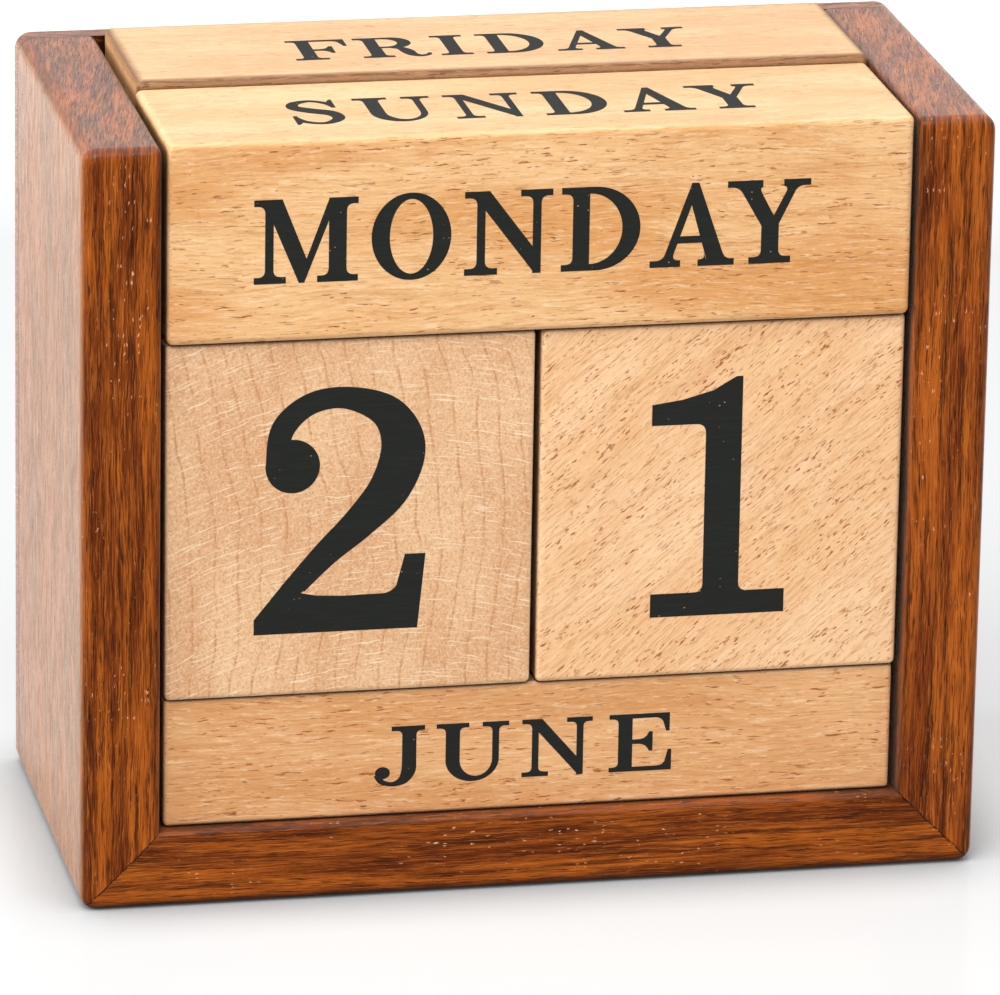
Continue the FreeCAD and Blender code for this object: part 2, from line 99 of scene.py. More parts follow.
class Graph:
    """The node tree of a material or a world, with a short call for each kind of node in use."""

    def __init__(self, owner: bpy.types.Material | bpy.types.World) -> None:
        """Start an empty graph.

        Args:
            owner: The material or world that it belongs to.
        """
        owner.use_nodes = True
        self.owner = owner
        self.tree = owner.node_tree
        self.tree.nodes.clear()

    def node(self, kind: str, **settings: object) -> bpy.types.Node:
        """Add a node.

        Args:
            kind: The node's type, without the ShaderNode that all of them begin with.
            **settings: Properties to set on it.

        Returns:
            The new node.
        """
        made = self.tree.nodes.new("ShaderNode" + kind)
        for key, value in settings.items():
            setattr(made, key, value)
        return made

    def feed(self, socket: Socket, value: Feed) -> None:
        """Link a socket to another one, or set its value.

        Args:
            socket: The input to fill.
            value: An output socket, a number or a tuple.
        """
        if isinstance(value, Socket):
            self.tree.links.new(value, socket)
        else:
            socket.default_value = value

    def math(self, operation: str, *values: Feed) -> Socket:
        """Add a Math node.

        Args:
            operation: Blender's name of the operation.
            *values: Its operands, in order.

        Returns:
            The result.
        """
        made = self.node("Math", operation=operation)
        for socket, value in zip(made.inputs, values):
            self.feed(socket, value)
        return made.outputs[0]

    def vector(self, operation: str, *values: Feed) -> Socket:
        """Add a Vector Math node.

        Args:
            operation: Blender's name of the operation.
            *values: Its operands, in order.

        Returns:
            The resulting vector.
        """
        made = self.node("VectorMath", operation=operation)
        for socket, value in zip(made.inputs, values):
            self.feed(socket, value)
        return made.outputs["Vector"]

    def split(self, vector: Socket) -> list[Socket]:
        """Return the three parts of a vector or colour."""
        made = self.node("SeparateXYZ")
        self.feed(made.inputs[0], vector)
        return list(made.outputs)

    def noise(
        self,
        where: Socket,
        stretch: Triple,
        detail: float = 3.0,
        rough: float = 0.5,
        output: str = "Fac",
    ) -> Socket:
        """Add a noise texture.

        Args:
            where: The place in millimetres.
            stretch: How many features there are to a millimetre each way.
            detail: How many finer layers it has.
            rough: How strong the finer layers are.
            output: Fac for a number or Color for three.

        Returns:
            The noise, around a half.
        """
        made = self.node("TexNoise")
        self.feed(made.inputs["Vector"], self.vector("MULTIPLY", where, stretch))
        made.inputs["Scale"].default_value = 1.0
        made.inputs["Detail"].default_value = detail
        made.inputs["Roughness"].default_value = rough
        return made.outputs[output]

    def fade(
        self, value: Socket, start: Feed, end: Feed, low: float = 0.0, high: float = 1.0
    ) -> Socket:
        """Map a value to a smooth step.

        Args:
            value: The value to map.
            start: Where the step starts.
            end: Where the step ends.
            low: The result before the start.
            high: The result after the end.

        Returns:
            The stepped value.
        """
        made = self.node("MapRange", interpolation_type="SMOOTHSTEP")
        for socket, number in zip(made.inputs, (value, start, end, low, high)):
            self.feed(socket, number)
        return made.outputs[0]

    def mix(self, amount: Feed, first: Feed, second: Feed) -> Socket:
        """Mix two colours.

        Args:
            amount: How much of the second colour shows.
            first: The colour beneath.
            second: The colour on top.

        Returns:
            The mixed colour.
        """
        made = self.node("Mix", data_type="RGBA")
        self.feed(made.inputs[0], amount)
        self.feed(made.inputs[6], first)
        self.feed(made.inputs[7], second)
        return made.outputs[2]

    def layer(self, colour: Feed, mask: Socket, share: Feed, top: Feed) -> Socket:
        """Lay one colour over another where a mask says so.

        Args:
            colour: The colour beneath.
            mask: Where the other colour lies.
            share: How much it covers there, from 0 to 1.
            top: The colour that is laid.

        Returns:
            The mixed colour.
        """
        return self.mix(self.math("MULTIPLY", mask, share), colour, top)

    def specks(self, where: Socket, stretch: Triple, size: float, share: float) -> Socket:
        """Scatter spindle-shaped specks.

        Args:
            where: The place in millimetres.
            stretch: How many cells there are to a millimetre each way.
            size: The largest speck's half-length, in cells.
            share: How many of the cells hold a speck, from 0 to 1.

        Returns:
            A mask that is 1 on the specks.
        """
        cells = self.node("TexVoronoi")
        self.feed(cells.inputs["Vector"], self.vector("MULTIPLY", where, stretch))
        cells.inputs["Scale"].default_value = 1.0
        chance, bulk, _ = self.split(cells.outputs["Color"])
        reach = self.math("MULTIPLY_ADD", bulk, 0.65 * size, 0.35 * size)
        near = self.fade(cells.outputs["Distance"], reach, self.math("MULTIPLY", reach, 0.55))
        return self.math("MULTIPLY", near, self.math("LESS_THAN", chance, share))

    def dashes(self, where: Socket, stretch: Triple, start: float) -> Socket:
        """Scatter frayed dashes, which are the peaks of a stretched noise.

        Args:
            where: The place in millimetres.
            stretch: How many dashes there are to a millimetre each way.
            start: The height that a peak must have, from a half to 1; fewer pass a higher one.

        Returns:
            A mask that is 1 on the dashes.
        """
        return self.fade(self.noise(where, stretch, 2.0, 0.5), start, start + 0.06)

    def crinkle(self, where: Socket, fine: float, reach: float) -> Socket:
        """Shake a place a little, so that thin marks come out crooked.

        Args:
            where: The place in millimetres.
            fine: How many shakes there are to a millimetre.
            reach: How far it shakes, in millimetres.

        Returns:
            The shaken place.
        """
        shake = self.noise(where, (fine,) * 3, 1.0, 0.5, "Color")
        shake = self.vector("SUBTRACT", shake, (0.5, 0.5, 0.5))
        return self.vector("MULTIPLY_ADD", shake, (reach,) * 3, where)

    def place(self) -> Socket:
        """Return the place on the piece, in millimetres, which moves with it."""
        made = self.node("TexCoord")
        return self.vector("MULTIPLY", made.outputs["Object"], (PER_METRE,) * 3)

    def looked_at(self) -> Socket:
        """Return 1 for the rays of the camera, a gloss or a clear thing, and 0 for other light."""
        path = self.node("LightPath")
        seen = self.math("MAXIMUM", path.outputs["Is Camera Ray"], path.outputs["Is Glossy Ray"])
        return self.math("MAXIMUM", seen, path.outputs["Is Transmission Ray"])

    def along(self, place: Socket, grain: Grain, shift: Triple, sway: Triple) -> Socket:
        """Turn a place so that X runs with the fibres, and bend it as real grain bends.

        Args:
            place: The place in millimetres.
            grain: Which way the fibres run.
            shift: How far into the plank this piece was cut, in millimetres.
            sway: Length of a bend, width of a bend and how far it leans, in millimetres.

        Returns:
            The place in the plank.
        """
        made = self.node("Mapping")
        self.feed(made.inputs["Vector"], place)
        made.inputs["Rotation"].default_value = grain.value
        made.inputs["Location"].default_value = shift
        length, width, lean = sway
        bend = self.noise(
            made.outputs[0], (1 / length, 1 / width, 1 / width), 1.0, 0.4, "Color"
        )
        bend = self.vector("SUBTRACT", bend, (0.5, 0.5, 0.5))
        return self.vector("MULTIPLY_ADD", bend, (0.0, lean, lean), made.outputs[0])

    def join(self, *parts: Feed) -> Socket:
        """Return the vector that three numbers make."""
        made = self.node("CombineXYZ")
        for socket, value in zip(made.inputs, parts):
            self.feed(socket, value)
        return made.outputs[0]

    def lean(self, along: Socket, slope: float) -> Socket:
        """Lean the growth layers, so that they show as lines on every long face.

        Args:
            along: The place in the plank.
            slope: How far they rise to a millimetre of depth.

        Returns:
            The leaning place.
        """
        length, deep, upright = self.split(along)
        return self.join(length, deep, self.math("MULTIPLY_ADD", deep, slope, upright))

    def crevice_shade(self, reach: float) -> Socket:
        """Mask the seams between pieces, where next to no light comes in, so that shade can be
        painted there.

        Args:
            reach: How near the next piece is there, in millimetres.

        Returns:
            A mask that is 1 in the seams.
        """
        near = self.node("AmbientOcclusion", samples=3)
        near.inputs["Distance"].default_value = reach * MM
        return self.fade(near.outputs["AO"], 0.78, 0.34)

    def sideways(self) -> Socket:
        """Return a mask of the faces that look to the left or right."""
        across = self.split(self.node("TexCoord").outputs["Normal"])[0]
        return self.fade(self.math("ABSOLUTE", across), 0.7, 0.98)

    def upward(self) -> Socket:
        """Return a mask of the faces that look up."""
        return self.fade(self.split(self.node("TexCoord").outputs["Normal"])[2], 0.35, 0.95)

    def edge(self, place: Socket, low: Vector, high: Vector, reach: float) -> Socket:
        """Mask the edges of a box-shaped piece.

        Args:
            place: The place in millimetres.
            low: The piece's lowest corner in metres.
            high: The piece's highest corner in metres.
            reach: How far from an edge the mask ends, in millimetres.

        Returns:
            A mask that is 1 on the edges.
        """
        middle = tuple((low + high) / 2 * PER_METRE)
        half = tuple((high - low) / 2 * PER_METRE)
        offset = self.vector("ABSOLUTE", self.vector("SUBTRACT", place, middle))
        first, second, third = self.split(self.vector("SUBTRACT", half, offset))
        lesser = self.math("MINIMUM", first, second)
        greater = self.math("MAXIMUM", first, second)
        next_face = self.math("MAXIMUM", lesser, self.math("MINIMUM", greater, third))
        return self.fade(next_face, reach, 0.0)

    def finish(
        self,
        colour: Feed,
        rough: Feed,
        height: Feed,
        depth: float,
        shine: Feed,
        sheen: float = 0.0,
    ) -> bpy.types.Material:
        """Close the graph with its shader.

        Args:
            colour: The base colour.
            rough: The roughness.
            height: The relief, from 0 to 1.
            depth: How deep the relief is, in metres.
            shine: The strength of the highlight, where 0.5 is usual.
            sheen: How much pale bloom shows on it from a low angle.

        Returns:
            The finished material.
        """
        shader = self.node("BsdfPrincipled")
        self.feed(shader.inputs["Base Color"], colour)
        self.feed(shader.inputs["Roughness"], rough)
        self.feed(shader.inputs["Specular IOR Level"], shine)
        shader.inputs["Sheen Weight"].default_value = sheen
        shader.inputs["Sheen Roughness"].default_value = 0.4
        shader.inputs["Sheen Tint"].default_value = BLOOM
        bump = self.node("Bump")
        bump.inputs["Distance"].default_value = depth
        bump.inputs["Strength"].default_value = 1.0
        self.feed(bump.inputs["Height"], height)
        self.feed(shader.inputs["Normal"], bump.outputs[0])
        output = self.node("OutputMaterial")
        self.feed(output.inputs["Surface"], shader.outputs[0])
        return self.owner


# Finishes


@dataclass(frozen=True)
class Rosewood:
    """Oiled dark wood with streaks, fine pores and a few filled pores that look white."""

    name: str
    grain: Grain
    shift: Triple
    deep: tuple = paint(108, 46, 14)
    warm: tuple = paint(170, 86, 26)
    streak: tuple = paint(66, 27, 9)
    line: tuple = paint(30, 12, 6)
    glow: tuple = paint(224, 132, 58)
    fleck: tuple = paint(246, 190, 150)
    open: tuple = paint(200, 142, 84)

    def material(self, node: str) -> bpy.types.Material:
        """Make the finish for one board.

        Args:
            node: The CAD node that it goes on.

        Returns:
            The material.
        """
        graph = Graph(bpy.data.materials.new(self.name))
        place = graph.place()
        along = graph.along(place, self.grain, self.shift, (40.0, 12.0, 1.6))
        along = graph.crinkle(graph.lean(along, 0.2), 0.6, 0.3)
        tone = graph.noise(along, (0.02, 0.06, 0.42), 4.0, 0.6)
        colour = graph.mix(graph.fade(tone, 0.38, 0.6), self.deep, self.warm)
        streak = graph.fade(graph.noise(along, (0.04, 0.1, 1.1), 5.0, 0.66), 0.49, 0.63)
        colour = graph.layer(colour, streak, 0.75, self.streak)
        fibre = graph.noise(along, (0.2, 0.24, 7.0), 5.0, 0.72)
        light = graph.fade(fibre, 0.52, 0.64)
        colour = graph.layer(colour, light, 0.42, self.glow)
        line = graph.fade(fibre, 0.47, 0.37)
        colour = graph.layer(colour, line, 0.65, self.line)
        pore = graph.dashes(along, (0.24, 0.3, 4.6), 0.61)
        colour = graph.layer(colour, pore, 0.7, self.line)
        aside = graph.sideways()
        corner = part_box("right_side")[1].x * PER_METRE
        outer = graph.math("ABSOLUTE", graph.split(place)[0])
        outer = graph.math("MULTIPLY", aside, graph.fade(outer, corner - 2.0, corner - 0.5))
        # Outer side faces drawn paler: partly the straight-grained cut of that face, partly a painted
        # sheen
        colour = graph.layer(colour, outer, 0.4, self.open)
        sawn = graph.noise(along, (0.06, 2.6, 0.4), 4.0, 0.66)
        sawn = graph.math("MULTIPLY", outer, graph.fade(sawn, 0.5, 0.36))
        colour = graph.layer(colour, sawn, 0.55, self.deep)
        cluster = graph.fade(graph.noise(along, (0.06, 0.1, 0.14), 2.0), 0.46, 0.64)
        crooked = graph.crinkle(along, 2.2, 0.5)
        fleck = graph.specks(crooked, (0.8, 1.4, 3.2), 0.34, 0.24)
        fleck = graph.math("MULTIPLY", fleck, cluster)
        colour = graph.layer(colour, fleck, 0.8, self.fleck)
        # Boards are drawn darker towards their edges
        edge_tone = graph.edge(place, *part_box(node), 1.6)
        colour = graph.layer(colour, edge_tone, 0.35, self.streak)
        joint = self.joint(graph, place, corner)
        # Glue lines joined with painted shade in the seams between pieces, both laid in the dark line
        # colour
        seam_and_shade = graph.math("MAXIMUM", joint, graph.crevice_shade(1.6))
        colour = graph.layer(colour, seam_and_shade, 0.85, self.line)
        hollow = graph.math("ADD", pore, graph.math("MULTIPLY", line, 0.4))
        hollow = graph.math("ADD", hollow, joint)
        relief = graph.math("SUBTRACT", 1.0, hollow)
        rough = graph.fade(fibre, 0.3, 0.7, 0.38, 0.22)
        facing = graph.math("MAXIMUM", aside, graph.upward())
        shine = graph.math("MULTIPLY_ADD", facing, 0.5, 0.03)
        return graph.finish(colour, rough, relief, 0.06 * MM, shine, 0.16)

    def joint(self, graph: Graph, place: Socket, corner: float) -> Socket:
        """Mask the thin dark glue lines at the mitres and along the back board.

        Args:
            graph: The graph to add to.
            place: The place in millimetres.
            corner: Half the box's width, in millimetres.

        Returns:
            A mask that is 1 on the lines.
        """
        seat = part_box("back_panel")[0].y * PER_METRE
        wander = graph.noise(place, (0.9, 0.9, 0.9), 3.0, 0.6)
        across, deep, upright = graph.split(place)
        across = graph.math("ABSOLUTE", across)
        mitre = graph.math("SUBTRACT", graph.math("ADD", upright, across), corner)
        mitre = graph.math("ADD", mitre, graph.math("MULTIPLY_ADD", wander, 1.1, -0.55))
        back = graph.math("SUBTRACT", deep, seat)
        nearest = graph.math(
            "MINIMUM", graph.math("ABSOLUTE", mitre), graph.math("ABSOLUTE", back)
        )
        return graph.math("MULTIPLY", graph.fade(nearest, 0.2, 0.05), graph.fade(wander, 0.3, 0.5))


@dataclass(frozen=True)
class Beech:
    """Pale sanded wood with short brown ray flecks along its fibres."""

    name: str
    grain: Grain
    shift: Triple
    cells: Triple = (0.36, 3.2, 3.2)
    share: float = 0.1
    spread: float = 0.62
    banding: float = 0.4
    pale: tuple = paint(246, 196, 140)
    honey: tuple = paint(230, 166, 102)
    band: tuple = paint(206, 136, 74)
    fleck: tuple = paint(162, 88, 34)
    light: tuple = paint(255, 230, 190)
    edge_shading: tuple = BEECH_EDGE_HIGHLIGHT
    seam_and_shade: tuple = SEAM_SHADE
    edge_tone: float = 0.3
    rim: float = 0.7

    def material(self, node: str) -> bpy.types.Material:
        """Make the finish for one block.

        Args:
            node: The CAD node that it goes on.

        Returns:
            The material.
        """
        graph = Graph(bpy.data.materials.new(self.name))
        place = graph.place()
        along = graph.along(place, self.grain, self.shift, (24.0, 8.0, 3.0))
        along = graph.crinkle(along, 0.7, 0.35)
        tone = graph.noise(along, (0.022, 0.1, 0.1), 3.0, 0.5)
        colour = graph.mix(graph.fade(tone, 0.36, 0.62), self.pale, self.honey)
        band = graph.fade(graph.noise(along, (0.03, 0.6, 0.6), 4.0, 0.62), 0.52, 0.7)
        colour = graph.layer(colour, band, self.banding, self.band)
        fibre = graph.noise(along, (0.22, 3.6, 3.6), 4.0, 0.64)
        soft = graph.fade(fibre, 0.49, 0.36)
        colour = graph.layer(colour, soft, 0.4, self.band)
        bright = graph.fade(fibre, 0.54, 0.66)
        colour = graph.layer(colour, bright, 0.45, self.light)
        dash = graph.dashes(along, self.cells, self.spread)
        fleck = graph.specks(along, tuple(1.25 * count for count in self.cells), 0.42, self.share)
        fleck = graph.math("MAXIMUM", fleck, dash)
        strength = graph.fade(graph.noise(along, (0.1, 0.4, 0.4), 1.0), 0.35, 0.62, 0.15, 0.9)
        colour = graph.layer(colour, fleck, strength, self.fleck)
        # Painted light: faces that look up are drawn paler than the fronts
        colour = graph.layer(colour, graph.upward(), 0.3, self.light)
        # Paint a highlight along the block's edges, in its edge colour
        edge_tone = graph.edge(place, *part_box(node), self.rim)
        ragged = graph.fade(fibre, 0.3, 0.6, 0.6, 1.0)
        edge_tone = graph.math("MULTIPLY", edge_tone, graph.math("MULTIPLY", ragged, self.edge_tone))
        colour = graph.mix(edge_tone, colour, self.edge_shading)
        # Painted shade in the seams between blocks
        colour = graph.mix(graph.crevice_shade(1.2), colour, self.seam_and_shade)
        hollow = graph.math("ADD", fleck, graph.math("MULTIPLY", soft, 0.4))
        relief = graph.math("SUBTRACT", 1.0, hollow)
        rough = graph.fade(fibre, 0.3, 0.7, 0.56, 0.44)
        return graph.finish(colour, rough, relief, 0.035 * MM, 0.25)


@dataclass(frozen=True)
class BeechEnd:
    """Beech cut across its fibres: wavy growth rings under fine slanting saw marks."""

    name: str
    heart: Triple
    ring: float = 3.1
    bow: Point = (0.3, 0.0078)
    pale: tuple = paint(241, 195, 149)
    rosy: tuple = paint(229, 176, 130)
    line: tuple = paint(206, 138, 84)
    dark: tuple = paint(184, 124, 80)
    ray: tuple = paint(255, 232, 196)
    edge_shading: tuple = BEECH_EDGE_HIGHLIGHT
    seam_and_shade: tuple = SEAM_SHADE

    def material(self, node: str) -> bpy.types.Material:
        """Make the finish for one block.

        Args:
            node: The CAD node that it goes on.

        Returns:
            The material.
        """
        graph = Graph(bpy.data.materials.new(self.name))
        place = graph.place()
        across = graph.vector("SUBTRACT", place, self.heart)
        sway = graph.noise(across, (0.03, 0.004, 0.04), 3.0, 0.5)
        length = graph.node("VectorMath", operation="LENGTH")
        graph.feed(length.inputs[0], graph.vector("MULTIPLY", across, (1.0, 0.0, 1.0)))
        radius = graph.math("MULTIPLY_ADD", sway, 7.0, length.outputs["Value"])
        turn = graph.math("FRACT", graph.math("DIVIDE", radius, self.ring))
        line = graph.math("MULTIPLY", graph.fade(turn, 0.8, 0.94), graph.fade(turn, 0.99, 0.94))
        tone = graph.noise(across, (0.08, 0.01, 0.05), 3.0, 0.5)
        colour = graph.mix(graph.fade(tone, 0.36, 0.64), self.pale, self.rosy)
        broken = graph.fade(graph.noise(across, (0.5, 0.1, 0.25), 2.0), 0.35, 0.6, 0.2, 0.75)
        colour = graph.layer(colour, line, broken, self.line)
        dots = graph.noise(graph.crinkle(across, 1.1, 0.5), (3.4, 0.12, 3.0), 3.0, 0.7)
        soft = graph.fade(dots, 0.48, 0.36)
        colour = graph.layer(colour, soft, 0.42, self.dark)
        bright = graph.fade(dots, 0.54, 0.66)
        colour = graph.layer(colour, bright, 0.45, self.ray)
        sawn = self.bowed(graph, place)
        fresh = graph.dashes(sawn, (0.2, 0.2, 4.0), 0.59)
        colour = graph.layer(colour, fresh, 0.7, self.ray)
        # Paint a highlight along the cube's edges
        edge_tone = graph.edge(place, *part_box(node), 0.7)
        colour = graph.layer(colour, edge_tone, 0.35, self.edge_shading)
        # Painted shade in the seams between blocks
        colour = graph.mix(graph.crevice_shade(1.2), colour, self.seam_and_shade)
        relief = graph.math("SUBTRACT", 1.0, graph.math("MULTIPLY", soft, 0.6))
        return graph.finish(colour, 0.55, relief, 0.03 * MM, 0.25)

    def bowed(self, graph: Graph, place: Socket) -> Socket:
        """Bend the place so that saw marks rise on the left and fall on the right.

        Args:
            graph: The graph to add to.
            place: The place in millimetres.

        Returns:
            The bent place.
        """
        across, deep, upright = graph.split(place)
        slope = graph.math("MULTIPLY_ADD", across, self.bow[1], self.bow[0])
        bent = graph.join(across, deep, graph.math("MULTIPLY_ADD", across, slope, upright))
        return graph.crinkle(bent, 0.3, 1.0)


@dataclass(frozen=True)
class Ink:
    """Matt charcoal lettering paint, with a pale speck where it missed a pore."""

    name: str = "charcoal_ink"
    body: tuple = paint(26, 28, 26)
    thin: tuple = paint(33, 35, 32)
    bare: tuple = paint(206, 178, 142)

    def material(self) -> bpy.types.Material:
        """Make the finish.

        Returns:
            The material.
        """
        graph = Graph(bpy.data.materials.new(self.name))
        place = graph.place()
        along = graph.along(place, Grain.ALONG_X, (3.0, 5.0, 7.0), (50.0, 12.0, 4.0))
        fibre = graph.noise(along, (0.25, 3.0, 3.0), 4.0, 0.6)
        colour = graph.mix(graph.fade(fibre, 0.42, 0.72), self.body, self.thin)
        bare = graph.specks(along, (1.4, 2.6, 2.6), 0.22, 0.06)
        colour = graph.layer(colour, bare, 0.8, self.bare)
        relief = graph.math("MULTIPLY", fibre, 0.6)
        return graph.finish(colour, 0.6, relief, 0.01 * MM, 0.15)


@dataclass(frozen=True)
class Steel:
    """Plain drawn wire."""

    name: str = "drawn_steel"
    bright: tuple = paint(196, 197, 200)
    dull: tuple = paint(150, 152, 156)

    def material(self) -> bpy.types.Material:
        """Make the finish.

        Returns:
            The material.
        """
        graph = Graph(bpy.data.materials.new(self.name))
        place = graph.place()
        drawn = graph.noise(place, (4.0, 0.15, 4.0), 3.0, 0.6)
        colour = graph.mix(drawn, self.dull, self.bright)
        made = graph.finish(colour, graph.fade(drawn, 0.3, 0.7, 0.25, 0.45), drawn, 0.01 * MM, 0.5)
        shader = next(n for n in made.node_tree.nodes if n.type == "BSDF_PRINCIPLED")
        shader.inputs["Metallic"].default_value = 1.0
        return made


# Letterforms, drawn with a capital's height as 1

THICK = 0.2
THIN = 0.095
SLAB = 0.078
BRACKET = 0.085
# A serif that reaches less than this has no bracket, and no bracket takes up more than this share
LEAST_REACH = 0.02
BRACKET_SHARE = 0.9
# How far the wedge at the end of an arm reaches back at its root and at its tip, and its bracket
WEDGE_ROOT = 0.11
WEDGE_TIP = 0.05
WEDGE_BRACKET = 0.1
# Pieces to a bracket, to a quarter turn and to a stretch of a ribbon
BRACKET_STEPS = 6
ARC_STEPS = 18
CURVE_STEPS = 8
# How the triangulation is asked to keep only what lies inside, and how near points are one point
INSIDE_ONLY = 1
SAME_POINT = 1e-5


def curve(start: Point, middle: Point, end: Point) -> list[Point]:
    """Sample a quadratic curve.

    Args:
        start: Its first point.
        middle: The point that pulls it.
        end: Its last point.

    Returns:
        The points along it, both ends included.
    """
    points = []
    for step in range(BRACKET_STEPS + 1):
        t = step / BRACKET_STEPS
        near, pull, far = (1 - t) ** 2, 2 * t * (1 - t), t * t
        x = near * start[0] + pull * middle[0] + far * end[0]
        y = near * start[1] + pull * middle[1] + far * end[1]
        points.append((x, y))
    return points


def arc(centre: Point, radii: Point, start: float, end: float) -> list[Point]:
    """Sample part of an ellipse.

    Args:
        centre: Its middle.
        radii: Its half-width and half-height.
        start: The first angle in degrees.
        end: The last angle in degrees.

    Returns:
        The points along it, both ends included.
    """
    steps = max(3, round(ARC_STEPS * abs(end - start) / 90.0))
    points = []
    for step in range(steps + 1):
        angle = math.radians(start + (end - start) * step / steps)
        x = centre[0] + radii[0] * math.cos(angle)
        y = centre[1] + radii[1] * math.sin(angle)
        points.append((x, y))
    return points


def bracket(corner: Point, first: Point, second: Point, reach: float) -> list[Point]:
    """Fill a corner between two edges with a small hollow curve.

    Args:
        corner: Where the edges meet.
        first: The way that one edge runs from the corner.
        second: The way that the other edge runs from the corner.
        reach: How far the fill goes along both.

    Returns:
        The outline of the fill.
    """
    ends = []
    for way in (first, second):
        length = math.hypot(*way)
        ends.append((corner[0] + way[0] / length * reach, corner[1] + way[1] / length * reach))
    return [corner, *curve(ends[0], corner, ends[1])]


class Mark:
    """One stroke of a letter, which adds shapes or cuts them out."""

    def layers(self) -> list[tuple[bool, list[Point]]]:
        """Return each shape as whether it adds, and its outline."""
        raise NotImplementedError


@dataclass(frozen=True)
class Patch(Mark):
    """A plain polygon."""

    points: tuple[Point, ...]
    adds: bool = True

    def layers(self) -> list[tuple[bool, list[Point]]]:
        """Return the polygon as its only shape."""
        return [(self.adds, list(self.points))]


@dataclass(frozen=True)
class Serif(Mark):
    """A slab at the end of a stroke, with a bracket on each side that it reaches to."""

    x: float
    y: float
    width: float
    left: float
    right: float
    lean: float = 0.0
    slab: float = SLAB
    hollow: float = BRACKET

    def layers(self) -> list[tuple[bool, list[Point]]]:
        """Return the slab and its brackets."""
        up = 1.0 if self.y < 0.5 else -1.0
        inner = self.y + up * self.slab
        low, high = sorted((self.y, inner))
        start, end = self.x - self.width / 2, self.x + self.width / 2
        slab = [(start - self.left, low), (end + self.right, low)]
        slab += [(end + self.right, high), (start - self.left, high)]
        made = [(True, slab)]
        shift = self.lean * self.slab * up
        for edge, side, reach in ((start, -1.0, self.left), (end, 1.0, self.right)):
            if reach > LEAST_REACH:
                corner = (edge + shift, inner)
                size = min(self.hollow, reach * BRACKET_SHARE)
                made.append((True, bracket(corner, (side, 0.0), (self.lean * up, up), size)))
        return made


@dataclass(frozen=True)
class Stem(Mark):
    """An upright stroke with a serif at its foot and head, each given as its two reaches."""

    x: float
    width: float = THICK
    low: float = 0.0
    high: float = 1.0
    foot: Point | None = None
    head: Point | None = None

    def layers(self) -> list[tuple[bool, list[Point]]]:
        """Return the stroke and its serifs."""
        start, end = self.x - self.width / 2, self.x + self.width / 2
        made = [(True, [(start, self.low), (end, self.low), (end, self.high), (start, self.high)])]
        if self.foot:
            made += Serif(self.x, self.low, self.width, *self.foot).layers()
        if self.head:
            made += Serif(self.x, self.high, self.width, *self.head).layers()
        return made


@dataclass(frozen=True)
class Arm(Mark):
    """A thin level stroke that ends in a wedge, up, down or both."""

    start: float
    end: float
    y: float
    drop: float = 0.0
    rise: float = 0.0

    def layers(self) -> list[tuple[bool, list[Point]]]:
        """Return the stroke and its wedge."""
        side = 1.0 if self.end > self.start else -1.0
        low, high = self.y, self.y + SLAB
        bar = [(self.start, low), (self.end, low), (self.end, high), (self.start, high)]
        made = [(True, bar)]
        root, tip = self.end - side * WEDGE_ROOT, self.end - side * WEDGE_TIP
        for base, reach in ((low, -self.drop), (high, self.rise)):
            if reach:
                far = base + reach
                made.append((True, [(root, base), (tip, far), (self.end, far), (self.end, base)]))
                fill = bracket((root, base), (-side, 0.0), (tip - root, reach), WEDGE_BRACKET)
                made.append((True, fill))
        return made


@dataclass(frozen=True)
class Ring(Mark):
    """A closed round stroke, thick at its sides and thin at its top and foot."""

    x: float
    y: float
    across: float
    tall: float
    thick: float = THICK
    thin: float = 0.075

    def layers(self) -> list[tuple[bool, list[Point]]]:
        """Return the outside and the counter."""
        centre = (self.x, self.y)
        outside = arc(centre, (self.across, self.tall), 0.0, 360.0)[:-1]
        radii = (self.across - self.thick, self.tall - self.thin)
        return [(True, outside), (False, arc(centre, radii, 0.0, 360.0)[:-1])]


@dataclass(frozen=True)
class Bowl(Mark):
    """A half-round stroke that opens onto a stem on its left."""

    start: float
    end: float
    low: float
    high: float
    thick: float = THICK
    thin: float = 0.078

    def layers(self) -> list[tuple[bool, list[Point]]]:
        """Return the outside and the counter."""
        made = []
        for adds, inset, trim, begin in ((True, 0.0, 0.0, 0.0), (False, self.thick, self.thin, 0.09)):
            low, high = self.low + trim, self.high - trim
            half = (high - low) / 2
            end = self.end - inset
            turn = max(self.start + begin, end - half * 1.02)
            radii = (end - turn, half)
            outline = [(self.start + begin, high), (self.start + begin, low)]
            made.append((adds, outline + arc((turn, low + half), radii, -90.0, 90.0)))
        return made


@dataclass(frozen=True)
class Cup(Mark):
    """The round foot of a letter that is not closed at its top."""

    start: float
    end: float
    top: float
    foot: float
    left: float = THICK
    right: float = THIN
    thin: float = 0.09

    def layers(self) -> list[tuple[bool, list[Point]]]:
        """Return the outside and the counter."""
        made = []
        for adds, left, right, thin in (
            (True, 0.0, 0.0, 0.0),
            (False, self.left, self.right, self.thin),
        ):
            start, end = self.start + left, self.end - right
            centre = ((start + end) / 2, self.top)
            radii = ((end - start) / 2, self.top - self.foot - thin)
            made.append((adds, arc(centre, radii, 180.0, 360.0)))
        return made


@dataclass(frozen=True)
class Dot(Mark):
    """The round ball that ends a curved stroke."""

    x: float
    y: float
    radius: float

    def layers(self) -> list[tuple[bool, list[Point]]]:
        """Return the ball."""
        return [(True, arc((self.x, self.y), (self.radius, self.radius), 0.0, 360.0)[:-1])]


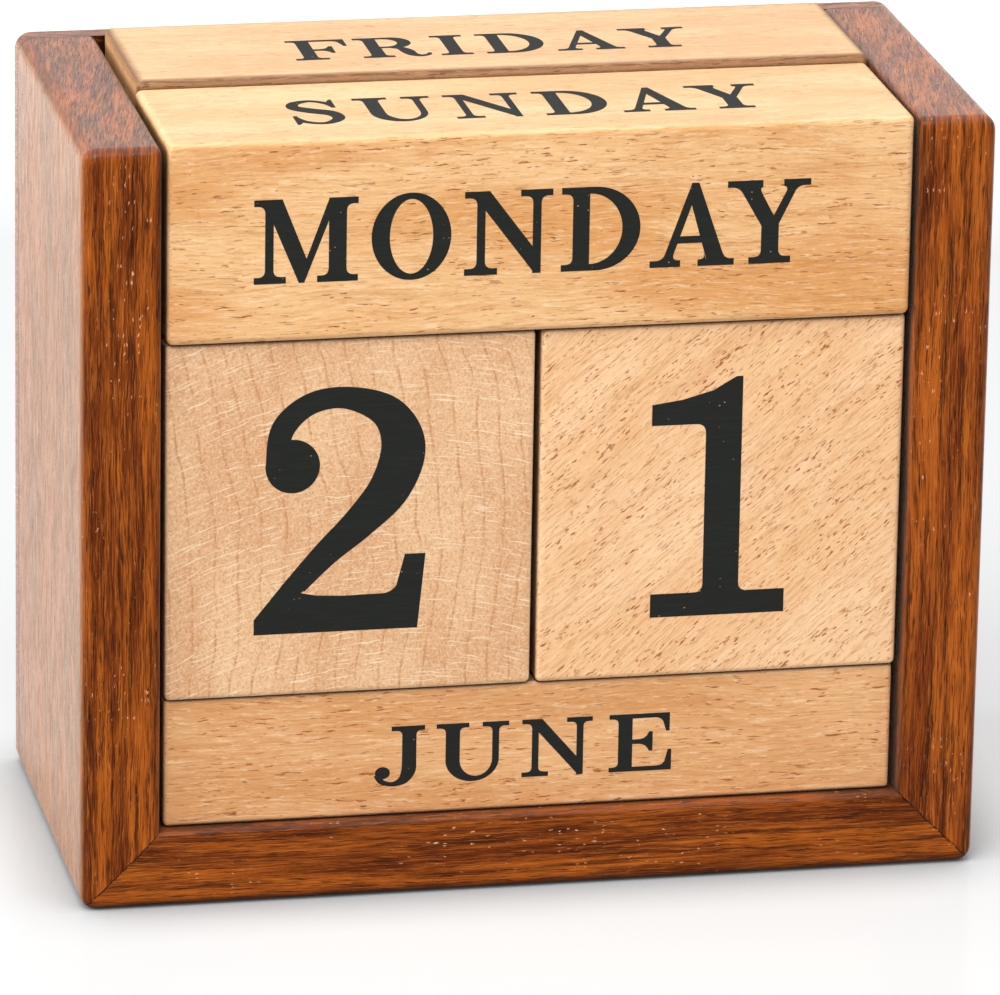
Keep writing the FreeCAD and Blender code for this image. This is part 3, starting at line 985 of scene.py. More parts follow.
@dataclass(frozen=True)
class Ribbon(Mark):
    """A curved stroke through points that each say how wide it is there."""

    points: tuple[Triple, ...]

    def layers(self) -> list[tuple[bool, list[Point]]]:
        """Return the stroke as short pieces that overlap."""
        path = self.path()
        left, right = [], []
        for index, (x, y, width) in enumerate(path):
            before, after = path[max(index - 1, 0)], path[min(index + 1, len(path) - 1)]
            run, rise = after[0] - before[0], after[1] - before[1]
            length = math.hypot(run, rise)
            across, up = -rise / length * width / 2, run / length * width / 2
            left.append((x + across, y + up))
            right.append((x - across, y - up))
        pieces = []
        for index in range(len(path) - 1):
            piece = [right[index], right[index + 1], left[index + 1], left[index]]
            pieces.append((True, piece))
        return pieces

    def path(self) -> list[Triple]:
        """Return the middle line, smoothed through the points, with its widths."""
        knots = [self.points[0], *self.points, self.points[-1]]
        path = [self.points[0]]
        for index in range(len(self.points) - 1):
            four = knots[index : index + 4]
            for step in range(1, CURVE_STEPS + 1):
                path.append(self.between(four, step / CURVE_STEPS))
        return path

    def between(self, four: Sequence[Triple], t: float) -> Triple:
        """Smooth between the middle two of four points.

        Args:
            four: The points before, at the start, at the end and after.
            t: How far along, from 0 to 1.

        Returns:
            The place and width there.
        """
        weights = (
            -0.5 * t + t * t - 0.5 * t**3,
            1 - 2.5 * t * t + 1.5 * t**3,
            0.5 * t + 2 * t * t - 1.5 * t**3,
            -0.5 * t * t + 0.5 * t**3,
        )
        return tuple(sum(w * p[axis] for w, p in zip(weights, four)) for axis in range(3))


@dataclass(frozen=True)
class Glyph:
    """A letter or number: how wide it is, and its strokes in the order they are laid."""

    width: float
    marks: tuple[Mark, ...]


BOTH = (0.13, 0.13)
WIDE = (0.14, 0.14)
LEFT_ONLY = (0.13, 0.0)
SPINE = Stem(0.23, foot=LEFT_ONLY, head=LEFT_ONLY)
BARB = Patch(((0.765, 0.64), (0.825, 0.64), (0.825, 1.0), (0.79, 1.0), (0.74, 0.88)))
ROUND_C = (
    (0.80, 0.70, 0.045), (0.73, 0.86, 0.09), (0.50, 0.965, 0.08), (0.22, 0.84, 0.15),
    (0.10, 0.50, 0.20), (0.22, 0.16, 0.15), (0.50, 0.035, 0.085),
)

GLYPHS = {
    "A": Glyph(
        0.97,
        (
            Patch(((0.125, 0.0), (0.475, 1.0), (0.555, 1.0), (0.89, 0.0))),
            Patch(((0.225, 0.0), (0.475, 0.735), (0.675, 0.0)), adds=False),
            Patch(((0.27, 0.28), (0.70, 0.28), (0.66, 0.365), (0.30, 0.365))),
            Serif(0.175, 0.0, 0.1, 0.12, 0.13, 0.35),
            Serif(0.7825, 0.0, 0.215, 0.12, 0.08, -0.32),
        ),
    ),
    "B": Glyph(
        0.86,
        (
            SPINE,
            Bowl(0.23, 0.78, 0.475, 1.0, 0.185),
            Bowl(0.23, 0.85, 0.0, 0.545, 0.2),
        ),
    ),
    "C": Glyph(
        0.88,
        (
            Ribbon((*ROUND_C, (0.74, 0.13, 0.085), (0.86, 0.31, 0.05))),
            BARB,
        ),
    ),
    "D": Glyph(0.9, (SPINE, Bowl(0.23, 0.9, 0.0, 1.0, 0.205))),
    "E": Glyph(
        0.9,
        (
            SPINE,
            Arm(0.23, 0.86, 1.0 - SLAB, drop=0.24),
            Arm(0.23, 0.62, 0.475, drop=0.13, rise=0.13),
            Arm(0.23, 0.89, 0.0, rise=0.28),
        ),
    ),
    "F": Glyph(
        0.86,
        (
            Stem(0.23, foot=(0.13, 0.15), head=LEFT_ONLY),
            Arm(0.23, 0.84, 1.0 - SLAB, drop=0.26),
            Arm(0.23, 0.62, 0.455, drop=0.13, rise=0.13),
        ),
    ),
    "G": Glyph(
        1.0,
        (
            Ribbon((*ROUND_C, (0.68, 0.07, 0.09), (0.80, 0.14, 0.1))),
            BARB,
            Stem(0.82, 0.18, 0.05, 0.45, head=(0.14, 0.1)),
            Patch(((0.59, 0.372), (0.99, 0.372), (0.99, 0.45), (0.59, 0.45))),
        ),
    ),
    "H": Glyph(
        1.06,
        (
            Stem(0.23, foot=BOTH, head=BOTH),
            Stem(0.83, foot=BOTH, head=BOTH),
            Patch(((0.23, 0.455), (0.83, 0.455), (0.83, 0.54), (0.23, 0.54))),
        ),
    ),
    "I": Glyph(0.46, (Stem(0.23, foot=BOTH, head=BOTH),)),
    "J": Glyph(
        0.74,
        (
            Stem(0.51, low=0.3, head=(0.15, 0.12)),
            Ribbon(
                (
                    (0.51, 0.4, 0.2), (0.50, 0.22, 0.2), (0.42, 0.06, 0.14), (0.27, 0.0, 0.075),
                    (0.12, 0.05, 0.085), (0.06, 0.17, 0.1),
                )
            ),
            Dot(0.135, 0.2, 0.105),
        ),
    ),
    "L": Glyph(
        0.86,
        (Stem(0.23, foot=LEFT_ONLY, head=BOTH), Arm(0.23, 0.85, 0.0, rise=0.3)),
    ),
    "M": Glyph(
        1.17,
        (
            Patch(
                (
                    (0.1, 1.0), (0.315, 1.0), (0.59, 0.285), (0.845, 1.0), (0.94, 1.0),
                    (0.565, 0.0), (0.505, 0.0), (0.14, 0.9),
                )
            ),
            Stem(0.17, THIN, foot=(0.125, 0.14)),
            Serif(0.17, 1.0, THIN, 0.125, 0.0),
            Stem(0.94, THICK, foot=BOTH),
            Serif(0.94, 1.0, THICK, 0.0, 0.13),
        ),
    ),
    "N": Glyph(
        1.0,
        (
            Patch(
                (
                    (0.09, 1.0), (0.285, 1.0), (0.80, 0.29), (0.875, 0.0), (0.80, 0.0),
                    (0.2, 0.82),
                )
            ),
            Stem(0.19, THIN, foot=WIDE),
            Serif(0.19, 1.0, THIN, 0.14, 0.0),
            Stem(0.825, THIN, head=(0.14, 0.13)),
        ),
    ),
    "O": Glyph(0.9, (Ring(0.45, 0.5, 0.45, 0.52, 0.205),)),
    "P": Glyph(
        0.82,
        (Stem(0.23, foot=(0.13, 0.15), head=LEFT_ONLY), Bowl(0.23, 0.81, 0.425, 1.0, 0.195)),
    ),
    "R": Glyph(
        1.0,
        (
            Stem(0.23, foot=(0.13, 0.12), head=LEFT_ONLY),
            Bowl(0.23, 0.80, 0.465, 1.0, 0.195),
            Ribbon(
                (
                    (0.46, 0.50, 0.07), (0.60, 0.44, 0.13), (0.67, 0.28, 0.19), (0.72, 0.11, 0.15),
                    (0.83, 0.03, 0.09), (0.94, 0.08, 0.07), (0.97, 0.16, 0.05),
                )
            ),
        ),
    ),
    "S": Glyph(
        0.74,
        (
            Ribbon(
                (
                    (0.64, 0.68, 0.045), (0.57, 0.86, 0.085), (0.37, 0.965, 0.08),
                    (0.16, 0.88, 0.14), (0.13, 0.71, 0.18), (0.33, 0.56, 0.2), (0.56, 0.44, 0.2),
                    (0.63, 0.25, 0.17), (0.53, 0.09, 0.12), (0.36, 0.03, 0.08), (0.16, 0.12, 0.09),
                    (0.07, 0.33, 0.045),
                )
            ),
            Patch(((0.62, 0.66), (0.675, 0.66), (0.675, 1.0), (0.64, 1.0), (0.58, 0.88))),
            Patch(((0.04, 0.0), (0.075, 0.0), (0.15, 0.12), (0.095, 0.36), (0.04, 0.36))),
        ),
    ),
    "T": Glyph(
        0.94,
        (
            Stem(0.47, foot=WIDE),
            Arm(0.47, 0.93, 1.0 - SLAB, drop=0.25),
            Arm(0.47, 0.01, 1.0 - SLAB, drop=0.25),
        ),
    ),
    "U": Glyph(
        1.03,
        (
            Cup(0.13, 0.885, 0.36, -0.02),
            Patch(((0.33, 0.35), (0.79, 0.35), (0.79, 0.8), (0.33, 0.8)), adds=False),
            Stem(0.23, low=0.35, head=BOTH),
            Stem(0.8375, THIN, low=0.35, head=WIDE),
        ),
    ),
    "V": Glyph(
        0.96,
        (
            Patch(((0.09, 1.0), (0.45, 0.0), (0.52, 0.0), (0.86, 1.0))),
            Patch(((0.305, 1.0), (0.535, 0.31), (0.76, 1.0)), adds=False),
            Serif(0.1975, 1.0, 0.215, 0.09, 0.12, -0.35),
            Serif(0.81, 1.0, 0.1, 0.13, 0.13, 0.34),
        ),
    ),
    "W": Glyph(
        1.4,
        (
            Patch(((0.09, 1.0), (0.42, 0.0), (0.49, 0.0), (0.76, 1.0))),
            Patch(((0.305, 1.0), (0.505, 0.31), (0.68, 1.0)), adds=False),
            Patch(((0.52, 1.0), (0.87, 0.0), (0.94, 0.0), (1.26, 1.0))),
            Patch(((0.735, 1.0), (0.955, 0.31), (1.16, 1.0)), adds=False),
            Serif(0.1975, 1.0, 0.215, 0.09, 0.1, -0.33),
            Serif(0.6275, 1.0, 0.215, 0.09, 0.1, -0.35),
            Serif(1.21, 1.0, 0.1, 0.13, 0.13, 0.32),
        ),
    ),
    "Y": Glyph(
        0.96,
        (
            Patch(
                (
                    (0.09, 1.0), (0.315, 1.0), (0.535, 0.57), (0.745, 1.0), (0.845, 1.0),
                    (0.595, 0.47), (0.595, 0.3), (0.395, 0.3), (0.395, 0.45),
                )
            ),
            Stem(0.495, high=0.46, foot=WIDE),
            Serif(0.2025, 1.0, 0.225, 0.09, 0.09, -0.53),
            Serif(0.795, 1.0, 0.1, 0.1, 0.11, 0.48),
        ),
    ),
    "0": Glyph(0.68, (Ring(0.34, 0.5, 0.34, 0.515, 0.165, 0.06),)),
    "1": Glyph(
        0.565,
        (
            Stem(0.295, 0.147, high=0.9),
            Serif(0.295, 0.0, 0.147, 0.213, 0.189, slab=0.098, hollow=0.035),
            Patch(((0.2215, 0.5), (0.3685, 0.5), (0.3685, 1.0), (0.342, 1.0), (0.2215, 0.93))),
            Patch(((0.0, 0.807), (0.26, 0.807), (0.26, 0.949), (0.124, 0.911), (0.0, 0.894))),
            Patch(tuple(bracket((0.2215, 0.807), (-1.0, 0.0), (0.0, -1.0), 0.04))),
        ),
    ),
    "2": Glyph(
        0.68,
        (
            Ribbon(
                (
                    (0.086, 0.69, 0.085), (0.112, 0.84, 0.095), (0.22, 0.937, 0.088),
                    (0.37, 0.956, 0.09), (0.53, 0.89, 0.135), (0.595, 0.75, 0.178),
                    (0.545, 0.585, 0.17), (0.425, 0.447, 0.136), (0.29, 0.325, 0.106),
                    (0.17, 0.20, 0.088),
                )
            ),
            Dot(0.152, 0.686, 0.109),
            Patch(((0.0, 0.0), (0.66, 0.0), (0.6, 0.149), (0.36, 0.146), (0.1, 0.15), (0.0, 0.062))),
            Patch(((0.0, 0.062), (0.36, 0.146), (0.25, 0.152), (0.187, 0.165), (0.138, 0.2))),
            Patch(((0.0, 0.062), (0.187, 0.165), (0.219, 0.186), (0.156, 0.248), (0.138, 0.231))),
            Patch(((0.54, 0.0), (0.66, 0.0), (0.69, 0.306), (0.607, 0.306), (0.566, 0.148))),
            Patch(tuple(bracket((0.573, 0.147), (-1.0, 0.0), (0.2, 1.0), 0.065))),
        ),
    ),
    "3": Glyph(
        0.64,
        (
            Ribbon(
                (
                    (0.08, 0.76, 0.09), (0.13, 0.89, 0.09), (0.30, 0.965, 0.075),
                    (0.45, 0.90, 0.13), (0.495, 0.755, 0.16), (0.42, 0.60, 0.12),
                    (0.24, 0.535, 0.055),
                )
            ),
            Ribbon(
                (
                    (0.24, 0.535, 0.055), (0.43, 0.50, 0.12), (0.555, 0.30, 0.17),
                    (0.48, 0.10, 0.14), (0.29, 0.02, 0.075), (0.12, 0.08, 0.09),
                    (0.065, 0.20, 0.09),
                )
            ),
            Dot(0.135, 0.75, 0.095),
            Dot(0.125, 0.215, 0.105),
        ),
    ),
    "4": Glyph(
        0.7,
        (
            Patch(((0.0, 0.235), (0.40, 1.0), (0.55, 1.0), (0.55, 0.235))),
            Patch(((0.095, 0.315), (0.395, 0.86), (0.395, 0.315)), adds=False),
            Patch(((0.0, 0.235), (0.70, 0.235), (0.70, 0.315), (0.0, 0.315))),
            Stem(0.4725, 0.155, high=1.0, foot=(0.13, 0.13)),
        ),
    ),
    "5": Glyph(
        0.63,
        (
            Patch(((0.11, 1.0), (0.13, 0.86), (0.50, 0.86), (0.57, 1.0), (0.35, 0.975))),
            Patch(((0.11, 1.0), (0.175, 0.98), (0.14, 0.5), (0.075, 0.5))),
            Ribbon(
                (
                    (0.10, 0.50, 0.05), (0.21, 0.585, 0.07), (0.36, 0.605, 0.09),
                    (0.505, 0.51, 0.15), (0.545, 0.32, 0.17), (0.46, 0.11, 0.14),
                    (0.28, 0.02, 0.075), (0.12, 0.08, 0.09), (0.065, 0.19, 0.09),
                )
            ),
            Dot(0.125, 0.205, 0.1),
        ),
    ),
    "6": Glyph(
        0.66,
        (
            Ribbon(
                (
                    (0.085, 0.34, 0.165), (0.095, 0.55, 0.165), (0.17, 0.78, 0.13),
                    (0.32, 0.93, 0.08), (0.46, 0.955, 0.07), (0.56, 0.88, 0.08),
                )
            ),
            Dot(0.52, 0.805, 0.09),
            Ring(0.335, 0.3, 0.325, 0.315, 0.16, 0.06),
        ),
    ),
    "7": Glyph(
        0.66,
        (
            Patch(((0.05, 1.0), (0.03, 0.67), (0.085, 0.67), (0.14, 0.84), (0.62, 0.84))),
            Patch(((0.05, 1.0), (0.1, 0.84), (0.62, 0.84), (0.66, 0.93), (0.66, 1.0))),
            Ribbon(
                (
                    (0.615, 0.91, 0.08), (0.50, 0.68, 0.10), (0.36, 0.42, 0.15),
                    (0.29, 0.20, 0.18), (0.28, 0.0, 0.18),
                )
            ),
        ),
    ),
    "8": Glyph(
        0.64,
        (
            Ring(0.32, 0.275, 0.32, 0.29, 0.155, 0.06),
            Ring(0.32, 0.755, 0.265, 0.26, 0.125, 0.06),
        ),
    ),
}


@dataclass
class Stamp:
    """A glyph cut into triangles, once for all the places that show it."""

    points: list[Point]
    triangles: list[tuple[int, int, int]]
    rim: list[tuple[int, int]]

    @classmethod
    def cut(cls, glyph: Glyph) -> "Stamp":
        """Merge a glyph's strokes into one outline filled with triangles.

        Args:
            glyph: The letter or number.

        Returns:
            The stamp.
        """
        points: list[Vector] = []
        faces: list[list[int]] = []
        adds: list[bool] = []
        for mark in glyph.marks:
            for adding, outline in mark.layers():
                faces.append(list(range(len(points), len(points) + len(outline))))
                points.extend(Vector(p) for p in cls.anticlockwise(outline))
                adds.append(adding)
        cut = delaunay_2d_cdt(points, [], faces, INSIDE_ONLY, SAME_POINT, True)
        kept = []
        for corners, sources in zip(cut[2], cut[5]):
            if sources and adds[max(sources)]:
                kept.append(cls.turned(cut[0], tuple(corners)))
        edges = [(a, b) for t in kept for a, b in zip(t, (*t[1:], t[0]))]
        both = set(edges)
        rim = [(a, b) for a, b in edges if (b, a) not in both]
        return cls([tuple(p) for p in cut[0]], kept, rim)

    @staticmethod
    def anticlockwise(outline: list[Point]) -> list[Point]:
        """Return an outline in anticlockwise order, as the triangulation takes it."""
        pairs = zip(outline, (*outline[1:], outline[0]))
        area = sum(a[0] * b[1] - b[0] * a[1] for a, b in pairs)
        return outline if area > 0 else outline[::-1]

    @staticmethod
    def turned(points: Sequence[Vector], face: tuple[int, ...]) -> tuple[int, ...]:
        """Order a triangle's corners anticlockwise.

        Args:
            points: All the points.
            face: The triangle.

        Returns:
            The triangle, turned over if it has to be.
        """
        first, second, third = (points[i] for i in face)
        area = (second - first).cross(third - first)
        return face if area > 0 else face[::-1]


STAMPS = {letter: Stamp.cut(glyph) for letter, glyph in GLYPHS.items()}


class Face(Enum):
    """A side of a block, as the ways in which its lettering runs and stands."""

    FRONT = ((1.0, 0.0, 0.0), (0.0, 0.0, 1.0))
    TOP = ((1.0, 0.0, 0.0), (0.0, 1.0, 0.0))
    BACK = ((1.0, 0.0, 0.0), (0.0, 0.0, -1.0))
    UNDER = ((1.0, 0.0, 0.0), (0.0, -1.0, 0.0))
    RIGHT = ((0.0, 1.0, 0.0), (0.0, 0.0, 1.0))
    LEFT = ((0.0, -1.0, 0.0), (0.0, 0.0, 1.0))


# How much closer some pairs of letters stand, in capital heights
KERNING = {"AY": -0.17, "DA": -0.05, "AT": -0.12, "LY": -0.12, "RY": -0.07, "RT": -0.03}


@dataclass(frozen=True)
class Setting:
    """How a word is set: its height, how far letters are widened and spaced, and its place.

    Gaps, where it has any, gives the space after each letter instead of one space for all.
    """

    height: float
    stretch: float = 1.0
    gap: float = 0.13
    right: float = 0.0
    up: float = 0.0
    gaps: tuple[float, ...] = ()

    def spaces(self, text: str) -> list[float]:
        """Return the space after each letter but the last, in capital heights."""
        if self.gaps:
            return list(self.gaps)
        return [self.gap + KERNING.get(first + second, 0.0) for first, second in zip(text, text[1:])]


@dataclass
class Printing:
    """The ink on one block, one thin closed mesh with every face's word or number."""

    block: str
    proud: float = 0.02 * MM
    sunk: float = 0.06 * MM
    points: list[Vector] = field(default_factory=list)
    faces: list[tuple[int, ...]] = field(default_factory=list)

    def word(self, text: str, face: Face, setting: Setting) -> None:
        """Print a word in the middle of a face.

        Args:
            text: The word or number.
            face: The side of the block.
            setting: How it is set.
        """
        low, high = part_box(self.block)
        run, stand = (Vector(way) for way in face.value)
        out = run.cross(stand)
        half = (high - low) / 2
        depth = abs(out.dot(half))
        middle = (low + high) / 2 + out * depth + run * setting.right + stand * setting.up
        scale = setting.height
        widths = [GLYPHS[letter].width * setting.stretch for letter in text]
        spaces = [*setting.spaces(text), 0.0]
        pen = -(sum(widths) + sum(spaces)) / 2
        for letter, width, space in zip(text, widths, spaces):
            start = middle + run * (pen * scale) - stand * (scale / 2)
            self.stamp(STAMPS[letter], start, run * (scale * setting.stretch), stand * scale, out)
            pen += width + space

    def stamp(self, stamp: Stamp, start: Vector, run: Vector, stand: Vector, out: Vector) -> None:
        """Add one letter as a thin prism.

        Args:
            stamp: The letter.
            start: The left end of its foot.
            run: The way and length of one unit across.
            stand: The way and length of one unit up.
            out: The way out of the block.
        """
        first = len(self.points)
        count = len(stamp.points)
        for rise in (self.proud, -self.sunk):
            self.points += [start + run * x + stand * y + out * rise for x, y in stamp.points]
        for a, b, c in stamp.triangles:
            self.faces.append((first + a, first + b, first + c))
            self.faces.append((first + count + c, first + count + b, first + count + a))
        for a, b in stamp.rim:
            self.faces.append((first + b, first + a, first + count + a, first + count + b))

    def piece(self, name: str, finish: bpy.types.Material) -> None:
        """Turn the ink into an object that rides with its block.

        Args:
            name: The piece's name.
            finish: The ink's material.
        """
        used = sorted({corner for face in self.faces for corner in face})
        renumber = {old: new for new, old in enumerate(used)}
        mesh = bpy.data.meshes.new(name)
        faces = [tuple(renumber[c] for c in face) for face in self.faces]
        mesh.from_pydata([self.points[i] for i in used], [], faces)
        mesh.materials.append(finish)
        made = bpy.data.objects.new(name, mesh)
        bpy.context.scene.collection.objects.link(made)
        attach(made, self.block)


def print_block(
    block: str, name: str, words: Iterable[tuple[str, Face, Setting]], ink: bpy.types.Material
) -> None:
    """Print the faces of a block.

    Args:
        block: The CAD node that carries the ink.
        name: The name of the piece that the ink makes.
        words: Each word or number, with its face and how it is set.
        ink: The lettering paint.
    """
    printing = Printing(block)
    for text, face, setting in words:
        printing.word(text, face, setting)
    printing.piece(name, ink)


# Sub-assemblies


def dress(node: str, finish: bpy.types.Material) -> None:
    """Give a CAD node its finish.

    Args:
        node: The node's name.
        finish: Its material.
    """
    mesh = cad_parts[node].data
    mesh.materials.clear()
    mesh.materials.append(finish)
    LOG.info("%s: %s", node, finish.name)


@dataclass
class WoodenBox:
    """The open box: two sides, a bottom and a back, with what holds them together."""

    side_shift: Triple = (12.0, 31.0, 4.0)
    other_shift: Triple = (140.0, 77.0, 58.0)
    bottom_shift: Triple = (260.0, 9.0, 101.0)
    back_shift: Triple = (390.0, 55.0, 23.0)

    def build(self) -> None:
        """Dress every board, spline and pin."""
        boards = {
            "left_side": Rosewood("rosewood_left", Grain.ALONG_Z, self.side_shift),
            "right_side": Rosewood(
                "rosewood_right",
                Grain.ALONG_Z,
                self.other_shift,
                deep=paint(126, 56, 19),
                warm=paint(182, 94, 32),
            ),
            "bottom_board": Rosewood("rosewood_bottom", Grain.ALONG_X, self.bottom_shift),
            "back_panel": Rosewood("rosewood_back", Grain.ALONG_X, self.back_shift),
        }
        for node, finish in boards.items():
            dress(node, finish.material(node))
        for side in ("left", "right"):
            node = "mitre_spline_" + side
            dress(node, Beech("spline_" + side, Grain.ALONG_Y, (5.0, 60.0, 40.0)).material(node))
        dress("back_panel_pins", Steel().material())


@dataclass
class WeekdayBars:
    """The two square bars that carry the seven weekday names."""

    monday: Setting = Setting(
        11.87 * MM, 1.03, right=-1.25 * MM, up=0.02 * MM, gaps=(0.156, 0.152, 0.106, 0.112, -0.089)
    )
    sunday: Setting = Setting(
        12.0 * MM, 0.872, right=0.14 * MM, up=-0.99 * MM, gaps=(0.179, 0.154, 0.168, 0.11, 0.053)
    )
    friday: Setting = Setting(
        10.33 * MM, 0.957, right=0.49 * MM, up=-1.77 * MM, gaps=(0.104, 0.109, 0.187, 0.117, 0.083)
    )
    hidden: Setting = Setting(11.4 * MM, 0.98, 0.14)
    long_name: Setting = Setting(11.4 * MM, 0.86, 0.06)

    def build(self, ink: bpy.types.Material) -> None:
        """Dress both bars and print their faces.

        Args:
            ink: The lettering paint.
        """
        first = Beech("beech_weekday_front", Grain.ALONG_X, (10.0, 20.0, 30.0))
        second = Beech(
            "beech_weekday_rear",
            Grain.ALONG_X,
            (210.0, 70.0, 130.0),
            pale=paint(236, 184, 132),
            honey=paint(220, 158, 102),
            # Dark edge colour: painted shade along the rear bar's edges, for the shaded groove behind
            # the front bar
            edge_shading=paint(90, 46, 18),
            edge_tone=1.0,
            rim=1.6,
        )
        dress("weekday_bar_front", first.material("weekday_bar_front"))
        dress("weekday_bar_rear", second.material("weekday_bar_rear"))
        front_words = (
            ("MONDAY", Face.FRONT, self.monday),
            ("SUNDAY", Face.TOP, self.sunday),
            ("TUESDAY", Face.BACK, self.hidden),
            ("WEDNESDAY", Face.UNDER, self.long_name),
        )
        print_block("weekday_bar_front", "weekday_names_front", front_words, ink)
        rear_words = (
            ("FRIDAY", Face.TOP, self.friday),
            ("SATURDAY", Face.BACK, self.hidden),
            ("THURSDAY", Face.FRONT, self.hidden),
        )
        print_block("weekday_bar_rear", "weekday_names_rear", rear_words, ink)


@dataclass
class NumberCubes:
    """The two cubes whose twelve faces make every date from 01 to 31."""

    digit: Setting = Setting(34.6 * MM, right=-0.16 * MM, up=0.36 * MM)
    two: Setting = Setting(35.2 * MM, 0.985, right=-1.5 * MM, up=1.0 * MM)

    def build(self, ink: bpy.types.Material) -> None:
        """Dress both cubes and print their faces.

        Args:
            ink: The lettering paint.
        """
        dress(
            "number_cube_left",
            BeechEnd("beech_cube_left", (-190.0, 0.0, 44.0)).material("number_cube_left"),
        )
        dress(
            "number_cube_right",
            Beech(
                "beech_cube_right",
                Grain.RISING,
                (80.0, 15.0, 66.0),
                cells=(0.72, 3.4, 3.4),
                share=0.14,
                spread=0.605,
                banding=0.2,
                pale=paint(254, 210, 162),
                honey=paint(248, 196, 145),
            ).material("number_cube_right"),
        )
        for block, numbers in (("number_cube_left", "201534"), ("number_cube_right", "108276")):
            words = [(digit, face, self.setting(digit, block)) for digit, face in zip(numbers, Face)]
            print_block(block, block.replace("cube", "figures"), words, ink)

    def setting(self, number: str, block: str) -> Setting:
        """Return how a number is set: the left cube's 2 was printed a little off its middle."""
        return self.two if number == "2" and block == "number_cube_left" else self.digit


@dataclass
class MonthBars:
    """The three small square bars whose twelve faces carry the months."""

    june: Setting = Setting(
        8.47 * MM, 1.18, right=-0.96 * MM, up=-0.44 * MM, gaps=(0.183, 0.213, 0.286)
    )
    name: Setting = Setting(8.4 * MM, 1.15, 0.2)
    long_name: Setting = Setting(8.2 * MM, 1.0, 0.14)
    long_from: int = 6

    def build(self, ink: bpy.types.Material) -> None:
        """Dress the bars and print their faces.

        Args:
            ink: The lettering paint.
        """
        bars = {
            "front": ("JUNE", "MAY", "APRIL", "JULY"),
            "middle": ("MARCH", "FEBRUARY", "JANUARY", "AUGUST"),
            "rear": ("OCTOBER", "SEPTEMBER", "DECEMBER", "NOVEMBER"),
        }
        sides = (Face.FRONT, Face.TOP, Face.BACK, Face.UNDER)
        for number, (place, months) in enumerate(bars.items()):
            block = "month_bar_" + place
            shift = (33.0 + 90.0 * number, 48.0 + 40.0 * number, 12.0 + 25.0 * number)
            wood = Beech(
                "beech_month_" + place,
                Grain.ALONG_X,
                shift,
                pale=paint(237, 182, 128),
                honey=paint(223, 162, 106),
            )
            dress(block, wood.material(block))
            words = [(month, side, self.setting(month)) for month, side in zip(months, sides)]
            print_block(block, "month_names_" + place, words, ink)

    def setting(self, month: str) -> Setting:
        """Return how a month is set, which its length decides."""
        if month == "JUNE":
            return self.june
        return self.name if len(month) < self.long_from else self.long_name


# Studio


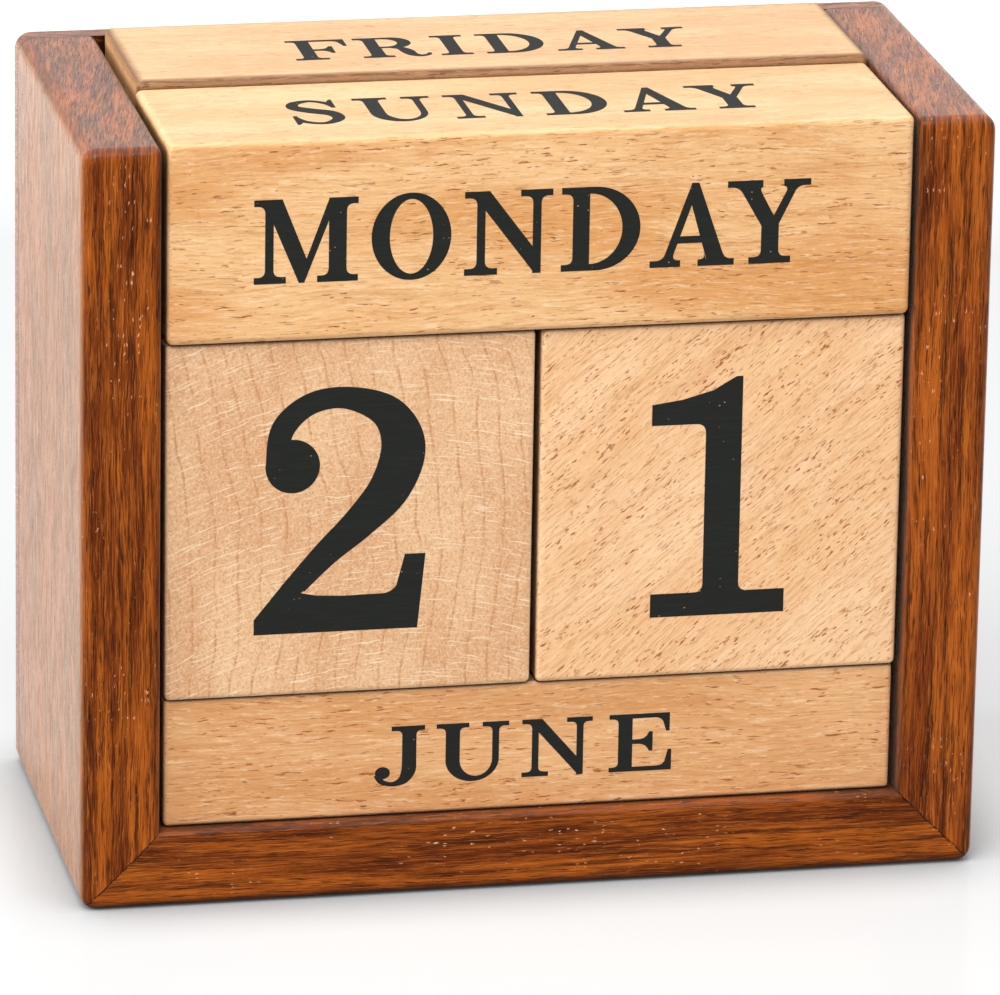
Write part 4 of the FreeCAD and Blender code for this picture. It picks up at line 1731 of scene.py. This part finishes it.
@dataclass
class Studio:
    """The floor, the lamps and the sky round the calendar."""

    reach: float = 6.0
    sky: float = 0.46
    key_power: float = 14.5
    key_size: float = 0.8
    fill_power: float = 5.0
    fill_size: float = 1.4
    side_power: float = 15.0
    side_size: float = 1.0
    gloss: float = 0.045
    floor_grey: tuple = (0.41, 0.42, 0.425, 1.0)
    floor_glow: float = 0.47
    painted_shadow_reach: float = 0.014
    near_floor: float = 0.06
    far_floor: float = 0.55

    def build(self) -> None:
        """Make all of it."""
        self.world()
        self.floor()
        self.lamp("key_lamp", (-0.35, -0.75, 1.25), self.key_power, self.key_size)
        self.lamp("fill_lamp", (1.1, -1.2, 0.7), self.fill_power, self.fill_size)
        self.lamp("side_lamp", (-1.3, -0.1, 0.7), self.side_power, self.side_size)

    def world(self) -> None:
        """Light the scene evenly, and show white wherever the camera or a gloss looks out."""
        world = bpy.data.worlds.new("soft_sky")
        bpy.context.scene.world = world
        graph = Graph(world)
        power = graph.node("MapRange")
        graph.feed(power.inputs["Value"], graph.looked_at())
        graph.feed(power.inputs["To Min"], self.sky)
        graph.feed(power.inputs["To Max"], 1.0)
        sky = graph.node("Background")
        graph.feed(sky.inputs["Color"], WHITE)
        graph.feed(sky.inputs["Strength"], power.outputs["Result"])
        output = graph.node("OutputWorld")
        graph.feed(output.inputs["Surface"], sky.outputs[0])

    def floor(self) -> None:
        """Lay a white floor that keeps the calendar's shadow and a faint mirror image. Its glow for
        the camera is dimmed close to the calendar, a painted contact shadow, and rises with distance.
        """
        half = self.reach
        mesh = bpy.data.meshes.new("floor")
        corners = [(-half, -half, 0.0), (half, -half, 0.0), (half, half, 0.0), (-half, half, 0.0)]
        mesh.from_pydata(corners, [], [(0, 1, 2, 3)])
        floor = bpy.data.objects.new("floor", mesh)
        bpy.context.scene.collection.objects.link(floor)
        graph = Graph(bpy.data.materials.new("white_floor"))
        seen = graph.looked_at()
        matt = graph.node("BsdfDiffuse")
        matt.inputs["Color"].default_value = self.floor_grey
        glow = graph.node("Emission")
        glow.inputs["Color"].default_value = WHITE
        # Painted contact shadow: the glow falls where the calendar is close and rises with distance
        # from it
        near = graph.node("AmbientOcclusion", samples=6)
        near.inputs["Distance"].default_value = self.painted_shadow_reach
        level = graph.fade(near.outputs["AO"], 0.4, 1.0, 0.04, self.floor_glow)
        away = graph.node("VectorMath", operation="LENGTH")
        graph.feed(away.inputs[0], graph.node("NewGeometry").outputs["Position"])
        distant = graph.fade(away.outputs["Value"], self.near_floor, self.far_floor)
        level = graph.math("MAXIMUM", level, distant)
        graph.feed(glow.inputs["Strength"], graph.math("MULTIPLY", seen, level))
        both = graph.node("AddShader")
        graph.feed(both.inputs[0], matt.outputs[0])
        graph.feed(both.inputs[1], glow.outputs[0])
        shine = graph.node("BsdfGlossy")
        shine.inputs["Roughness"].default_value = 0.12
        mixed = graph.node("MixShader")
        mixed.inputs[0].default_value = self.gloss
        graph.feed(mixed.inputs[1], both.outputs[0])
        graph.feed(mixed.inputs[2], shine.outputs[0])
        output = graph.node("OutputMaterial")
        graph.feed(output.inputs["Surface"], mixed.outputs[0])
        mesh.materials.append(graph.owner)

    def lamp(self, name: str, place: Triple, power: float, size: float) -> None:
        """Hang a soft square lamp that faces the calendar.

        Args:
            name: The lamp's name.
            place: Where it hangs.
            power: Its power in watts.
            size: Its side.
        """
        light = bpy.data.lights.new(name, "AREA")
        light.energy = power
        light.size = size
        lamp = bpy.data.objects.new(name, light)
        lamp.location = place
        aim = Vector((0.0, 0.0, 0.05)) - Vector(place)
        lamp.rotation_mode = "QUATERNION"
        lamp.rotation_quaternion = aim.to_track_quat("-Z", "Y")
        bpy.context.scene.collection.objects.link(lamp)


@dataclass
class Viewpoint:
    """The camera, where the picture was taken from."""

    eye: Triple = (-0.22963, -1.11532, 0.42076)
    forward: Triple = (0.19257, 0.93039, -0.31191)
    up: Triple = (0.04667, 0.30882, 0.94998)
    focal: float = 8477.9
    picture_width: float = 1000.0
    sensor: float = 36.0

    def build(self) -> None:
        """Make the camera and look through it."""
        camera = bpy.data.cameras.new("camera")
        camera.sensor_fit = "HORIZONTAL"
        camera.sensor_width = self.sensor
        camera.lens = self.focal * self.sensor / self.picture_width
        camera.clip_start = 0.05
        camera.clip_end = 40.0
        made = bpy.data.objects.new("camera", camera)
        bpy.context.scene.collection.objects.link(made)
        forward = Vector(self.forward).normalized()
        right = forward.cross(Vector(self.up)).normalized()
        up = right.cross(forward)
        turn = Matrix((right, up, -forward)).transposed()
        made.matrix_world = Matrix.Translation(Vector(self.eye)) @ turn.to_4x4()
        bpy.context.scene.camera = made


def corners(box: Iterable[Vector]) -> list[list[float]]:
    """Return a box's two corners as plain lists."""
    return [[float(number) for number in corner] for corner in box]


def main() -> None:
    """Build the calendar and its studio, and log the finish that each CAD node gets."""
    logging.basicConfig(level=logging.INFO, format="%(name)s: %(message)s")
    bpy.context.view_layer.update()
    bpy.context.scene.view_settings.view_transform = "Standard"
    Viewpoint().build()
    Studio().build()
    WoodenBox().build()
    ink = Ink().material()
    WeekdayBars().build(ink)
    NumberCubes().build(ink)
    MonthBars().build(ink)


if __name__ == "__main__":
    main()
